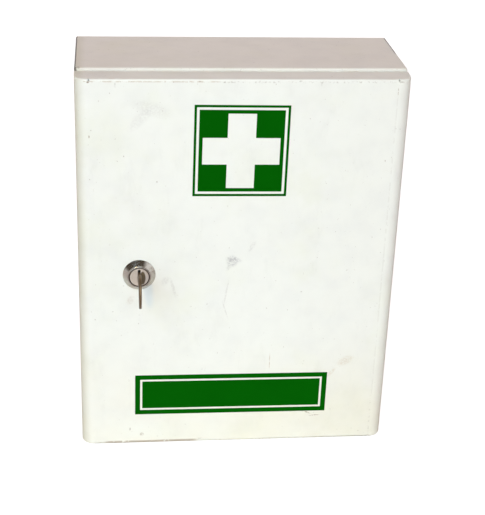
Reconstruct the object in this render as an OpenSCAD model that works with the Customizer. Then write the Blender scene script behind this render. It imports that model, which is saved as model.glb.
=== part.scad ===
// Lockable wall cabinet for medicines. A folded sheet steel case carries two shelves, and a pan door
// turns on hidden pivots at its right edge. A cam lock with a wafer plug and its key sits at the left.
// X runs to the right, Y to the back and Z up. The origin is the middle of the case's underside.

/* [Case] */
// Width of the case and of the door
case_w = 320; // [290:1:420]
// Height of the case
case_h = 404; // [350:1:520]
// Depth of the case without the door
case_d = 110; // [90:1:160]
// Thickness of the case sheet
case_t = 1; // [0.8:0.1:1.5]
// Outside radius of the long bends between the top, the sides and the bottom
edge_bend = 2; // [1.6:0.1:3]
// Outside radius of the bend into the front return
front_bend = 3; // [2:0.5:4]
// Width of the front return, which the door covers
front_return = 12; // [11:0.5:16]
// Width of the rear return, which the back panel is welded to
rear_return = 14; // [10:0.5:20]

/* [Back panel] */
// Thickness of the back panel
back_t = 1; // [0.8:0.1:1.5]
// Room between the back panel's edge and the rear return's bend
back_gap = 0.3; // [0.1:0.1:0.8]
// Distance of each wall screw hole from the case's side
wall_hole_in = 40; // [30:1:60]
// Distance of each wall screw hole from the case's top or bottom
wall_hole_up = 42; // [30:1:70]
// Diameter of a wall screw hole
wall_hole_d = 7; // [5:0.5:9]

/* [Shelves] */
// Thickness of a shelf's sheet
shelf_t = 1; // [0.8:0.1:1.5]
// Height of the lower shelf's top above the case's underside
lower_shelf_z = 134; // [100:1:150]
// Height of the upper shelf's top above the case's underside
upper_shelf_z = 268; // [240:1:290]
// Distance of a shelf's front edge behind the case's front face
shelf_setback = 12; // [10:1:30]
// Height of a shelf's folded front edge
shelf_edge_h = 16; // [10:1:24]
// Width of the hem turned back under a shelf's front edge
shelf_hem = 8; // [5:1:12]
// Height of a shelf's upturned rear edge
shelf_back_h = 10; // [6:1:20]
// Outside radius of a shelf's bends
shelf_bend = 2; // [1.6:0.1:3]
// Room between a shelf's end and the case's wall
shelf_gap = 0.5; // [0.3:0.1:1.5]
// Width of the ledge of a shelf support
support_w = 12; // [8:1:18]
// Height of the wall leg of a shelf support
support_h = 14; // [10:1:20]
// Thickness of a shelf support
support_t = 1.2; // [1:0.1:2]
// Distance of a shelf support behind the shelf's hem
support_back = 4; // [2:0.5:10]

/* [Door] */
// Depth of the door pan
door_d = 25.4; // [24:0.1:40]
// Thickness of the door sheet
door_t = 1; // [0.8:0.1:1.3]
// Gap between the door's rear edge and the case's front
door_gap = 1.4; // [1.2:0.1:1.8]
// Height of the door's lower edge above the case's underside
door_rise = 0.5; // [0.4:0.1:2]
// Distance of the door's upper edge below the case's top
door_drop = 2.8; // [1:0.1:4]
// Outside radius of the door's upright front edges
door_side_r = 12.5; // [8:0.5:15]
// Outside radius of the folds along the door's top and bottom
door_fold_r = 2; // [1.6:0.1:3]
// Width of the lip turned in at the door's rear edge
door_lip = 9; // [6:0.5:11]
// Width of the relief notch at each end of a fold
notch_w = 1.2; // [0.8:0.1:2]

/* [Hinge] */
// Distance of the pivot axis ahead of the door's rear edge
pivot_back = 12; // [11:0.5:14]
// Least gap between the turning door's corner and the case's front
swing_clear = 0.4; // [0.3:0.1:0.5]
// Diameter of the pivot screw's shoulder
pivot_d = 4; // [3.4:0.1:4.4]
// Diameter of the pivot screw's thread
pivot_thread_d = 3; // [2.5:0.1:3]
// Thickness of a bracket
bracket_t = 2.5; // [2:0.1:3]
// Height of a bracket's wall leg
bracket_leg_h = 32; // [24:1:44]
// Depth of a bracket's wall leg
bracket_leg_d = 20; // [14:1:26]
// Height of a pivot boss
boss_h = 2; // [1.6:0.1:2.4]
// Thickness of a pivot washer
pivot_washer_t = 0.8; // [0.5:0.1:1]
// Height of a pivot screw's head
pivot_head_h = 2; // [1.4:0.1:2.6]
// Thickness left under the threaded hole of a pivot boss
boss_floor = 0.4; // [0.3:0.1:0.8]
// Widest angle of the door
door_open = 110; // [95:1:115]

/* [Lock] */
// Distance of the lock's axis from the case's left side
lock_in = 60; // [52:0.1:70]
// Height of the lock's axis above the case's underside
lock_z = 199.6; // [170:0.1:230]
// Base diameter of the conical escutcheon
rose_d = 32.5; // [30:0.5:38]
// Top diameter of the conical escutcheon
rose_top_d = 23.6; // [23.2:0.1:26]
// Height of the escutcheon
rose_h = 5.5; // [4:0.1:6]
// Thickness of the escutcheon under the lock's head
rose_web = 2; // [1.5:0.1:2.5]
// Diameter of the lock's head
head_d = 22.1; // [21.5:0.1:22.6]
// How far the lock's head stands ahead of the door
head_proud = 6.2; // [6:0.1:7]
// Diameter of the lock's threaded barrel
barrel_d = 19; // [18:0.1:20]
// Width of the barrel across its two flats
barrel_flat = 16; // [15.5:0.1:17]
// Length of the barrel behind the door's front
barrel_l = 24; // [22:0.5:25]
// Diameter of the plug
plug_d = 14; // [13.5:0.1:14.4]
// Diameter of the plug's cap
plug_cap_d = 18.6; // [18:0.1:19]
// How far the plug's face stands ahead of the door
plug_proud = 6.8; // [6.6:0.1:7.6]
// Thickness of the plug's cap
plug_cap_h = 3.2; // [2.6:0.1:3.6]
// Size across the square tail that drives the cam
tail_w = 7; // [6:0.1:8]
// Number of wafers in the plug
wafer_n = 5; // [3:1:6]
// Thickness of a wafer
wafer_t = 1; // [0.8:0.1:1.2]
// Width of a wafer
wafer_w = 5; // [4.6:0.1:5.6]
// Distance between neighbouring wafers
wafer_pitch = 3; // [2.6:0.1:3]
// Distance of the first wafer behind the plug's cap
wafer_start = 4; // [3:0.1:5]
// Depth of the grooves that the wafers drop into when no key holds them
groove_depth = 1.2; // [0.8:0.1:1.6]
// Height of the open keyway above the key's blade
keyway_over = 2.4; // [1.5:0.1:2.6]
// Number of teeth of the toothed washer
star_n = 12; // [8:1:16]
// Width of the lock nut across its flats
nut_af = 24; // [22:0.5:28]
// Thickness of the lock nut
nut_h = 4; // [3:0.5:6]
// Outer diameter of the toothed washer
star_d = 26; // [24:0.5:30]
// Thickness of the toothed washer
star_t = 0.8; // [0.5:0.1:1]
// Width of the cam
cam_w = 14; // [12:0.5:16]
// Thickness of the cam
cam_t = 2; // [1.5:0.1:2.5]
// Gap between the cam's arm and the back of the front return
cam_gap = 0.4; // [0.3:0.1:0.8]
// Gap between the turned cam's end and the case's wall
cam_wall_gap = 3.7; // [2:0.1:5]
// Diameter of the cam screw
cam_screw_d = 3; // [2.5:0.1:3.5]
// Diameter of the cam screw's head
cam_head_d = 7; // [6:0.1:8]
// Height of the cam screw's head
cam_head_h = 2.2; // [1.6:0.1:2.6]
// Length of the cam screw's thread inside the plug
cam_bite = 3.4; // [2.6:0.1:3.6]
// Diameter of the cam washer
cam_washer_d = 11; // [10:0.5:13]
// Thickness of the cam washer
cam_washer_t = 1; // [0.8:0.1:1.4]

/* [Key] */
// Thickness of the key
key_t = 2.4; // [2:0.1:2.4]
// Height of the key's blade
blade_h = 8; // [7.6:0.1:8.4]
// Length of the key's blade inside the plug
blade_l = 25; // [22:0.5:26]
// Height of the key's neck
neck_h = 11; // [9:0.5:13]
// Distance of the bow's middle ahead of the door
bow_out = 38; // [36:0.5:42]
// Height of the bow
bow_h = 34; // [30:0.5:38]
// Length of the bow along the key
bow_l = 29; // [26:0.5:32]
// Diameter of the hole in the bow
bow_hole_d = 7; // [5:0.5:9]
// Width of the bow outside its hole
bow_wall = 3.5; // [2.5:0.5:6]
// Depth of the shallowest cut in the blade
cut_low = 0.7; // [0.5:0.05:0.9]
// Difference between neighbouring depths of cut
cut_step = 0.45; // [0.2:0.05:0.5]

/* [Labels] */
// Thickness of the label film
label_t = 0.15; // [0.1:0.05:0.3]
// Width of the cross label
cross_w = 91.8; // [80:0.1:110]
// Height of the cross label
cross_h = 92.9; // [80:0.1:110]
// Place of the cross label's middle to the right of the case's middle
cross_x = -2.2; // [-20:0.1:20]
// Distance of the cross label's middle below the case's top
cross_drop = 74.4; // [60:0.1:120]
// Width of the cross label's outer line
cross_line = 1.8; // [1:0.1:3]
// Width of the bare line inside the cross label's outer line
cross_bare = 3.1; // [2:0.1:4]
// Width of an arm of the cross
arm_w = 27.9; // [22:0.1:32]
// Distance of an arm's end from the edge of the green field
arm_end = 3; // [2:0.1:6]
// Clockwise tilt of the cross label, which is stuck on by hand
cross_tilt = 0.45; // [-2:0.05:2]
// Width of the sign label
sign_w = 201; // [150:0.5:220]
// Height of the sign label
sign_h = 47.1; // [36:0.1:60]
// Place of the sign label's middle to the right of the case's middle
sign_x = -3.9; // [-20:0.1:20]
// Height of the sign label's middle above the case's underside
sign_z = 59.4; // [40:0.1:80]
// Width of the sign label's outer band
sign_band = 4.7; // [3:0.1:6]
// Width of the bare line inside the sign label's outer band
sign_bare = 2.75; // [1.5:0.05:4]
// Clockwise tilt of the sign label
sign_tilt = 0.3; // [-2:0.05:2]

/* [Door bumpers] */
// Diameter of a door bumper
bumper_d = 8; // [6:0.5:9]
// Gap between a bumper and the closed door's lip
bumper_gap = 0.3; // [0.2:0.1:0.5]
// Distance of a bumper from the case's top or bottom
bumper_up = 30; // [20:1:60]

/* [Hidden] */
$fn = 64;

// Radial clearance of a turning fit
run_fit = 0.05;
// Clearance on each side of a sliding fit
slide_fit = 0.1;
// Clearance between flat faces that pass each other
face_fit = 0.1;
// Clearance between pieces that only pass each other
pass_fit = 0.3;
// How far a cut runs past the face that it opens
over = 1;
// Least inside radius of a bend
least_bend = 0.2;
// Chamfer of a turned edge
chamfer = 0.3;
// Room between a hinge's tongue and the door's side
tongue_gap = 0.5;
// Room between a pivot screw's head and the door's side
head_gap = 0.4;
// Room between the key's tip and the keyway's end
tip_room = 1;

// Planes along Y
case_front = -case_d / 2;
case_rear = case_d / 2;
door_rear = case_front - door_gap;
door_front = door_rear - door_d;

// Door outline
door_h = case_h - door_rise - door_drop;
door_top = door_rise + door_h;
door_mid = door_rise + door_h / 2;

// Pivot axis. The door's rear corner turns about it and just clears the case's front.
pivot_in = sqrt(pow(pivot_back + door_gap - swing_clear, 2) - pow(pivot_back, 2));
pivot_x = case_w / 2 - pivot_in;
pivot_y = door_rear - pivot_back;
pivot_head_r = pivot_in - door_t - head_gap;
boss_r = pivot_in - door_t - slide_fit;
tongue_r = pivot_in - door_t - tongue_gap;
// Heights of the upper hinge. The lower hinge is its mirror image about the door's middle.
boss_low = door_top - door_t - boss_h;
tongue_top = boss_low - pivot_washer_t - face_fit;
tongue_low = tongue_top - bracket_t;
pivot_head_top = tongue_low - 2 * face_fit;
// Half of the tongue's width and length, seen from the door at its widest angle, set the slot's end
stop_reach = (pivot_in - tongue_r * cos(door_open)) / sin(door_open);
slot_front = tongue_r * sin(door_open) - stop_reach * cos(door_open) + pass_fit;

// Lock
lock_x = -case_w / 2 + lock_in;
head_r = head_d / 2;
barrel_r = barrel_d / 2;
plug_r = plug_d / 2;
cap_r = plug_cap_d / 2;
cap_low = plug_proud - plug_cap_h;
plug_end = -barrel_l - pass_fit;
cam_rear = plug_end - cam_t;
arm_front = -(door_d + door_gap + case_t + cam_gap);
cam_l = lock_in - case_t - cam_wall_gap;
keyway_w = key_t + 2 * slide_fit;
keyway_low = -blade_h / 2 - slide_fit;
keyway_high = blade_h / 2 + keyway_over;
blade_tip = plug_proud - blade_l;
keyway_end = blade_tip - tip_room;
wafer_room = wafer_t + 1.5 * slide_fit;
first_wafer = cap_low - wafer_start;
groove_r = plug_r + groove_depth;

// Shelf supports run from the back panel to the shelf's folded front edge
inner_w = case_w - 2 * case_t;
back_face = case_rear - case_t - back_t;
back_edge = case_t + inside(edge_bend, case_t) + back_gap;
shelf_front = case_front + shelf_setback;
shelf_rear = back_face - pass_fit;

// Inside radius of a bend with a given outside radius and sheet
function inside(r, t) = max(r - t, least_bend);

// What is left over when a corner at the origin is rounded
module corner_rest(r) {
    difference() {
        translate([-over, -over]) square(r + over);
        translate([r, r]) circle(r);
    }
}

// Rectangle centred on X from y = 0 up, with one radius at its low corners and one at its high corners
module rounded(w, l, r_low, r_high) {
    difference() {
        translate([-w / 2, 0]) square([w, l]);
        for (s = [0, 1]) mirror([s, 0]) {
            if (r_low > 0) translate([-w / 2, 0]) corner_rest(r_low);
            if (r_high > 0) translate([-w / 2, l]) mirror([0, 1]) corner_rest(r_high);
        }
    }
}

// Folded box form: the common part of its front view, its plan and its side view
module folded_form(w, y0, d, z0, h, r_edge, r_plan, r_fold, r_rear) {
    intersection() {
        translate([0, y0 + d, z0]) rotate([90, 0, 0]) linear_extrude(d) rounded(w, h, r_edge, r_edge);
        translate([0, y0, z0]) linear_extrude(h) rounded(w, d, r_plan, r_rear);
        translate([-w / 2, y0, z0]) rotate([90, 0, 90]) linear_extrude(w)
            translate([0, h / 2]) mirror([1, -1]) rounded(h, d, r_fold, r_rear);
    }
}

// Slab across the front view, from y0 to y1
module slab(x0, x1, y0, y1, z0, z1) {
    translate([x0, y0, z0]) cube([x1 - x0, y1 - y0, z1 - z0]);
}

// Puts a shape of the lock in place: its own X is across, its Y is up and its Z points out of the door
module at_lock() {
    translate([lock_x, door_front, lock_z]) rotate([90, 0, 0]) children();
}

// Puts flat art on the door's front, with its middle at x, z and a clockwise tilt
module on_door(x, z, tilt) {
    translate([x, door_front, z]) rotate([90, 0, 0]) linear_extrude(label_t) rotate(-tilt) children();
}

// Mirrors a piece of the upper hinge, for the lower hinge
module lower_twin() {
    translate([0, 0, 2 * door_mid]) mirror([0, 0, 1]) children();
}

// Case shell: four walls with a return all round the front and the rear
module case_shell() {
    color("white") difference() {
        folded_form(case_w, case_front, case_d, 0, case_h, edge_bend, front_bend, front_bend, edge_bend);
        folded_form(
            inner_w, case_front + case_t, case_d - 2 * case_t, case_t, case_h - 2 * case_t,
            inside(edge_bend, case_t), inside(front_bend, case_t), inside(front_bend, case_t),
            inside(edge_bend, case_t)
        );
        slab(
            -case_w / 2 + front_return, case_w / 2 - front_return, case_front - over, 0,
            front_return, case_h - front_return
        );
        slab(
            -case_w / 2 + rear_return, case_w / 2 - rear_return, 0, case_rear + over,
            rear_return, case_h - rear_return
        );
        tongue_window();
        lower_twin() tongue_window();
    }
}

// Window in the front return that a bracket's tongue passes
module tongue_window() {
    slab(
        pivot_x - tongue_r - pass_fit, pivot_x + tongue_r + pass_fit,
        case_front - over, case_front + case_t + inside(front_bend, case_t),
        tongue_low - pass_fit, tongue_top + pass_fit
    );
}

// Back panel: a flat sheet welded inside the rear return, with four wall screw holes
module back_panel() {
    color("white") difference() {
        slab(
            -case_w / 2 + back_edge, case_w / 2 - back_edge, back_face, case_rear - case_t,
            back_edge, case_h - back_edge
        );
        for (x = [-1, 1]) for (z = [wall_hole_up, case_h - wall_hole_up]) {
            translate([x * (case_w / 2 - wall_hole_in), back_face - over, z]) rotate([-90, 0, 0])
                cylinder(d = wall_hole_d, h = back_t + 2 * over);
        }
    }
}

// Shelf: a sheet with an upturned rear edge, a folded front edge and a hem under it
module shelf(top) {
    length = inner_w - 2 * shelf_gap;
    r = shelf_bend;
    r_in = inside(shelf_bend, shelf_t);
    color("white") translate([-length / 2, 0, top]) rotate([90, 0, 90]) linear_extrude(length)
        difference() {
            union() {
                // Front edge with its hem
                translate([shelf_front, -shelf_edge_h]) translate([(2 * r + shelf_hem) / 2, 0])
                    rounded(2 * r + shelf_hem, shelf_edge_h, r, r);
                // Tread
                translate([shelf_front + r, -shelf_t]) square([shelf_rear - shelf_front - 2 * r, shelf_t]);
                // Rear edge
                translate([shelf_rear - 2 * r, -shelf_t]) difference() {
                    square([2 * r, shelf_back_h]);
                    translate([2 * r, 0]) mirror([1, 0]) corner_rest(r);
                }
            }
            // Inside of the front edge
            translate([shelf_front + shelf_t + (2 * r + shelf_hem) / 2, -shelf_edge_h + shelf_t])
                rounded(2 * r + shelf_hem, shelf_edge_h - 2 * shelf_t, r_in, r_in);
            translate([shelf_front + r + shelf_hem, -shelf_edge_h - over])
                square([r + over, shelf_edge_h - shelf_t + over]);
            // Inside of the rear edge
            translate([shelf_rear - 2 * r - over, 0])
                difference() {
                    square([2 * r + over - shelf_t, shelf_back_h + over]);
                    translate([2 * r + over - shelf_t, 0]) mirror([1, 0]) corner_rest(r_in);
                }
        }
}

module lower_shelf() { shelf(lower_shelf_z); }

module upper_shelf() { shelf(upper_shelf_z); }

// Shelf supports: two angles a shelf, spot welded to the side walls
module shelf_supports() {
    front = shelf_front + 2 * shelf_bend + shelf_hem + support_back;
    color("white") for (side = [0, 1]) mirror([side, 0, 0])
        for (top = [lower_shelf_z - shelf_t, upper_shelf_z - shelf_t])
            translate([-inner_w / 2, shelf_rear, top]) rotate([90, 0, 0])
                linear_extrude(shelf_rear - front) difference() {
                    translate([0, -support_h]) square([support_w, support_h]);
                    translate([support_t, -support_h - over])
                        square([support_w, support_h - support_t + over]);
                }
}

// Hinge bracket: a tongue that reaches through the front return, on a leg against the side wall
module hinge_bracket() {
    leg_front = case_front + case_t + inside(front_bend, case_t) + pass_fit;
    wall = inner_w / 2;
    color("silver") difference() {
        union() {
            translate([pivot_x, pivot_y, tongue_low]) linear_extrude(bracket_t) {
                circle(tongue_r);
                translate([-tongue_r, 0]) square([2 * tongue_r, leg_front + bracket_leg_d - pivot_y]);
            }
            translate([0, leg_front + bracket_leg_d, 0]) rotate([90, 0, 0]) linear_extrude(bracket_leg_d)
                difference() {
                    translate([pivot_x - tongue_r, tongue_top - bracket_leg_h])
                        square([wall - pivot_x + tongue_r, bracket_leg_h]);
                    translate([pivot_x - tongue_r - over, tongue_top - bracket_leg_h - over])
                        square([wall - pivot_x + tongue_r + over - bracket_t, bracket_leg_h + over - bracket_t]);
                    // The leg's corner clears the case's long bend
                    translate([wall, tongue_top]) mirror([1, 0]) mirror([0, 1])
                        corner_rest(edge_bend + pass_fit);
                }
        }
        translate([pivot_x, pivot_y, tongue_low - over])
            cylinder(r = pivot_d / 2 + run_fit, h = bracket_t + 2 * over);
    }
}

module hinge_bracket_upper() { hinge_bracket(); }

module hinge_bracket_lower() { lower_twin() hinge_bracket(); }

// Door bumpers: two soft discs on the front return, under the door's lip on the lock's side
module door_bumpers() {
    color("dimgray") for (z = [bumper_up, case_h - bumper_up])
        translate([-case_w / 2 + front_return / 2, case_front, z]) rotate([90, 0, 0])
            cylinder(d = bumper_d, h = door_gap - bumper_gap);
}

// Door panel: a pan with rounded upright edges, a lip at its rear edge and reliefs at the folds' ends
module door_panel() {
    inner = case_w - 2 * door_t;
    color("white") difference() {
        folded_form(case_w, door_front, door_d, door_rise, door_h, 0, door_side_r, door_fold_r, 0);
        folded_form(
            inner, door_front + door_t, door_d - 2 * door_t, door_rise + door_t, door_h - 2 * door_t,
            0, inside(door_side_r, door_t), inside(door_fold_r, door_t), 0
        );
        // Rear opening inside the lip, and bare corners at the pivots
        slab(
            -case_w / 2 + door_lip, inner / 2, door_rear - 2 * door_t, door_rear + over,
            door_rise + door_lip, door_top - door_lip
        );
        slab(
            pivot_x - tongue_r - door_lip / 2, inner / 2, door_rear - 2 * door_t, door_rear + over,
            door_rise + door_t, door_top - door_t
        );
        tongue_slot();
        lower_twin() tongue_slot();
        for (s = [-1, 1]) for (z = [door_rise, door_top - door_fold_r])
            slab(
                s * (case_w / 2 - door_side_r - notch_w) - notch_w / 2,
                s * (case_w / 2 - door_side_r - notch_w) + notch_w / 2,
                door_front - over, door_front + door_fold_r,
                z - (z == door_rise ? over : 0), z + door_fold_r + (z == door_rise ? 0 : over)
            );
        at_lock() translate([0, 0, -door_t - over]) linear_extrude(door_t + 2 * over) barrel_outline(slide_fit);
    }
}

// Slot in the door's side that lets the tongue through as the door turns
module tongue_slot() {
    slab(
        pivot_x, case_w / 2 + over, pivot_y - slot_front, door_rear + over,
        tongue_low - 2 * pass_fit, tongue_top + 2 * pass_fit
    );
}

// Outline of the barrel with its two flats, grown by a clearance
module barrel_outline(grow) {
    intersection() {
        circle(barrel_r + grow);
        square([barrel_flat + 2 * grow, barrel_d + 2 * over], center = true);
    }
}

// Draws a hinge piece at both ends of the door
module both_hinges() {
    translate([pivot_x, pivot_y, 0]) children();
    lower_twin() translate([pivot_x, pivot_y, 0]) children();
}

// Pivot bosses: weld nuts inside the door's top and bottom
module pivot_bosses() {
    color("silver") both_hinges() translate([0, 0, boss_low]) difference() {
        cylinder(r = boss_r, h = boss_h);
        translate([0, 0, -over]) cylinder(r = pivot_thread_d / 2 + run_fit, h = boss_h - boss_floor + over);
    }
}

// Pivot washers: between the bosses and the tongues
module pivot_washers() {
    color("ivory") both_hinges() translate([0, 0, boss_low - pivot_washer_t]) difference() {
        cylinder(r = boss_r, h = pivot_washer_t);
        translate([0, 0, -over]) cylinder(r = pivot_d / 2 + run_fit, h = pivot_washer_t + 2 * over);
    }
}

// Pivot screws: a slotted head, a shoulder that turns in the tongue and a thread in the boss
module pivot_screws() {
    slot_w = 0.8;
    color("silver") both_hinges() difference() {
        union() {
            translate([0, 0, pivot_head_top - pivot_head_h]) cylinder(r = pivot_head_r, h = pivot_head_h);
            translate([0, 0, pivot_head_top]) cylinder(d = pivot_d, h = boss_low - pivot_head_top);
            translate([0, 0, boss_low]) cylinder(d = pivot_thread_d, h = boss_h - boss_floor - 2 * slide_fit);
        }
        translate([-pivot_head_r - over, -slot_w / 2, pivot_head_top - pivot_head_h - over])
            cube([2 * pivot_head_r + 2 * over, slot_w, over + pivot_head_h / 2]);
    }
}

// Escutcheon: a conical ring clamped between the lock's head and the door
module lock_escutcheon() {
    rim = 0.6;
    color("silver") at_lock() rotate_extrude() polygon([
        [barrel_r + slide_fit, 0], [rose_d / 2, 0], [rose_d / 2, rim],
        [rose_top_d / 2 + chamfer, rose_h - chamfer], [rose_top_d / 2, rose_h],
        [head_r + slide_fit, rose_h], [head_r + slide_fit, rose_web], [barrel_r + slide_fit, rose_web]
    ]);
}

// Lock body: a head with a seat for the plug's cap, and a barrel with two flats and the wafer grooves
module lock_body() {
    cone_h = 1;
    color("silver") at_lock() difference() {
        union() {
            translate([0, 0, rose_web]) cylinder(r = head_r, h = head_proud - rose_web - chamfer);
            translate([0, 0, head_proud - chamfer])
                cylinder(r1 = head_r, r2 = head_r - chamfer, h = chamfer);
            translate([0, 0, -barrel_l]) linear_extrude(barrel_l + rose_web) barrel_outline(0);
        }
        translate([0, 0, -barrel_l - over]) cylinder(r = plug_r + run_fit, h = barrel_l + head_proud + 2 * over);
        translate([0, 0, cap_low - face_fit]) cylinder(r = cap_r + run_fit, h = head_proud);
        translate([0, 0, head_proud - cone_h])
            cylinder(r1 = cap_r + run_fit, r2 = cap_r + run_fit + cone_h + over, h = cone_h + over);
        translate([-wafer_w / 2 - slide_fit, -groove_r, -barrel_l - over])
            cube([wafer_w + 2 * slide_fit, 2 * groove_r, barrel_l + cap_low - wafer_t + over]);
    }
}

// Toothed washer between the door and the lock nut
module lock_washer() {
    tooth_gap = 1.2;
    color("silver") at_lock() translate([0, 0, -door_t - star_t]) linear_extrude(star_t) difference() {
        circle(d = star_d);
        circle(barrel_r + slide_fit);
        for (i = [0 : star_n - 1]) rotate(i * 360 / star_n)
            translate([star_d / 2 - tooth_gap, -tooth_gap / 2]) square([tooth_gap + over, tooth_gap]);
    }
}

// Lock nut: hexagonal, chamfered on its outer face
module lock_nut() {
    corner_r = nut_af / sqrt(3);
    bevel_h = 1;
    flat_r = nut_af / 2 - slide_fit;
    color("silver") at_lock() translate([0, 0, -door_t - star_t - nut_h]) difference() {
        intersection() {
            cylinder(r = corner_r, h = nut_h, $fn = 6);
            union() {
                cylinder(r1 = flat_r, r2 = corner_r + slide_fit, h = bevel_h);
                translate([0, 0, bevel_h]) cylinder(r = corner_r + slide_fit, h = nut_h);
            }
        }
        translate([0, 0, -over]) cylinder(r = barrel_r + run_fit, h = nut_h + 2 * over);
    }
}

// Plug: a cap with the keyway, a core with the wafer slots and a square tail for the cam
module lock_plug() {
    bevel = 0.4;
    color("rosybrown") at_lock() difference() {
        union() {
            translate([0, 0, plug_end]) cylinder(r = plug_r, h = cap_low - plug_end);
            translate([0, 0, cap_low]) cylinder(r = cap_r, h = plug_cap_h - bevel);
            translate([0, 0, plug_proud - bevel]) cylinder(r1 = cap_r, r2 = cap_r - bevel, h = bevel);
            translate([-tail_w / 2, -tail_w / 2, cam_rear + face_fit]) cube([tail_w, tail_w, cam_t]);
        }
        // Keyway
        translate([-keyway_w / 2, keyway_low, keyway_end])
            cube([keyway_w, keyway_high - keyway_low, plug_proud - keyway_end + over]);
        // Wafer slots
        for (i = [0 : wafer_n - 1])
            translate([-wafer_w / 2 - slide_fit, -plug_r - over, first_wafer - i * wafer_pitch - wafer_room])
                cube([wafer_w + 2 * slide_fit, plug_d + 2 * over, wafer_room]);
        // Threaded hole for the cam screw
        translate([0, 0, cam_rear - over])
            cylinder(d = cam_screw_d + 2 * run_fit, h = over + cam_t + cam_bite + 2 * pass_fit);
    }
}

// Wafers: plates with a window that the key's blade lifts
module lock_wafers() {
    color("goldenrod") at_lock() for (i = [0 : wafer_n - 1])
        translate([0, 0, first_wafer - i * wafer_pitch - wafer_room + (wafer_room - wafer_t) / 2])
            linear_extrude(wafer_t) difference() {
                intersection() {
                    circle(plug_r - run_fit);
                    square([wafer_w, plug_d], center = true);
                }
                translate([-keyway_w / 2, keyway_low])
                    square([keyway_w, blade_h + 2 * slide_fit + pass_fit]);
            }
}

// Cam: a round base on the plug's tail, then a crank back to the plane behind the front return
module lock_cam() {
    base_wall = 1.5;
    base_r = cam_w / 2 + base_wall;
    crank_start = base_r + cam_t;
    crank_angle = 50;
    drop = plug_end - arm_front;
    crank_end = crank_start + drop / tan(crank_angle);
    // The crank's rear corners lie further out, so that it's as thick as the arm
    rear_shift = cam_t * tan(crank_angle / 2);
    end_r = cam_w / 3;
    color("silver") at_lock() difference() {
        intersection() {
            // Seen along the lock's axis
            translate([0, 0, arm_front - cam_t - over]) linear_extrude(drop + cam_t + 2 * over) {
                circle(base_r);
                translate([-cam_w / 2, -cam_l + end_r]) square([cam_w, cam_l - end_r]);
                translate([-cam_w / 2 + end_r, -cam_l]) square([cam_w - 2 * end_r, cam_l]);
                for (s = [-1, 1]) translate([s * (cam_w / 2 - end_r), -cam_l + end_r]) circle(end_r);
            }
            // Seen from the side
            rotate([90, 0, 90]) translate([0, 0, -base_r - over]) linear_extrude(2 * (base_r + over)) polygon([
                [base_r + over, plug_end], [-crank_start, plug_end], [-crank_end, arm_front],
                [-cam_l - over, arm_front], [-cam_l - over, arm_front - cam_t],
                [-crank_end - rear_shift, arm_front - cam_t],
                [-crank_start - rear_shift, plug_end - cam_t],
                [base_r + over, plug_end - cam_t]
            ]);
        }
        translate([-tail_w / 2 - face_fit, -tail_w / 2 - face_fit, cam_rear - over])
            cube([tail_w + 2 * face_fit, tail_w + 2 * face_fit, cam_t + 2 * over]);
    }
}

// Cam washer: under the cam screw's head
module cam_washer() {
    color("silver") at_lock() translate([0, 0, cam_rear - cam_washer_t]) difference() {
        cylinder(d = cam_washer_d, h = cam_washer_t);
        translate([0, 0, -over]) cylinder(d = cam_screw_d + 2 * slide_fit, h = cam_washer_t + 2 * over);
    }
}

// Cam screw: a domed head with a cross recess
module cam_screw() {
    dome_d = cam_head_d - cam_head_h;
    recess_w = 0.8;
    color("silver") at_lock() translate([0, 0, cam_rear - cam_washer_t]) difference() {
        union() {
            cylinder(d = cam_screw_d, h = cam_washer_t + cam_t + cam_bite);
            translate([0, 0, -cam_head_h / 2]) cylinder(d = cam_head_d, h = cam_head_h / 2);
            translate([0, 0, -cam_head_h]) cylinder(d1 = dome_d, d2 = cam_head_d, h = cam_head_h / 2);
        }
        for (a = [0, 90]) rotate(a) translate([-cam_head_d / 4, -recess_w / 2, -cam_head_h - over])
            cube([cam_head_d / 2, recess_w, cam_head_h / 2 + over]);
    }
}

// Key: a round bow on a neck, and a blade with a cut for each wafer and a groove along its side
module key() {
    shoulder = plug_proud + slide_fit;
    point_l = 2.6;
    point_h = 1.6;
    groove_w = 1.2;
    groove_low = -1.8;
    groove_t = key_t / 4;
    color("darkkhaki") at_lock() rotate([0, -90, 0]) translate([0, 0, -key_t / 2]) difference() {
        linear_extrude(key_t) difference() {
            union() {
                // Blade with its pointed tip. Here X runs out of the door and Y is up.
                polygon([
                    [blade_tip, -point_h / 2], [blade_tip + point_l, -blade_h / 2],
                    [shoulder, -blade_h / 2], [shoulder, blade_h / 2],
                    [blade_tip + point_l, blade_h / 2], [blade_tip, point_h / 2]
                ]);
                translate([shoulder, -neck_h / 2]) square([bow_out - shoulder, neck_h]);
                translate([bow_out, 0]) bow();
            }
            for (i = [0 : wafer_n - 1])
                translate([first_wafer - i * wafer_pitch - wafer_room / 2, blade_h / 2])
                    bitting(cut_low + cut_step * ((2 * i) % 3));
            translate([bow_out + bow_l / 2 - bow_hole_d / 2 - bow_wall, 0]) circle(d = bow_hole_d);
        }
        // Groove along the blade
        translate([blade_tip - over, groove_low, key_t - groove_t])
            cube([shoulder - blade_tip + over, groove_w, groove_t + over]);
    }
}

// Bow outline: two large arcs crossed, with their points cut off at the bow's height
module bow() {
    flat = 1;
    r = bow_h / 2 + flat;
    // Radius of the arcs, which stop at the bow's length and would cross at r
    arc = (r * r + pow(bow_l / 2, 2)) / bow_l;
    intersection() {
        translate([arc - bow_l / 2, 0]) circle(arc, $fn = 96);
        translate([bow_l / 2 - arc, 0]) circle(arc, $fn = 96);
        square([bow_l, bow_h], center = true);
    }
}

// Cut of a given depth in the blade's upper edge, with a flat bottom and sloping sides
module bitting(depth) {
    flat = 1;
    out = depth + over;
    polygon([[-flat / 2, -depth], [flat / 2, -depth], [flat / 2 + out, over], [-flat / 2 - out, over]]);
}

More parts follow.
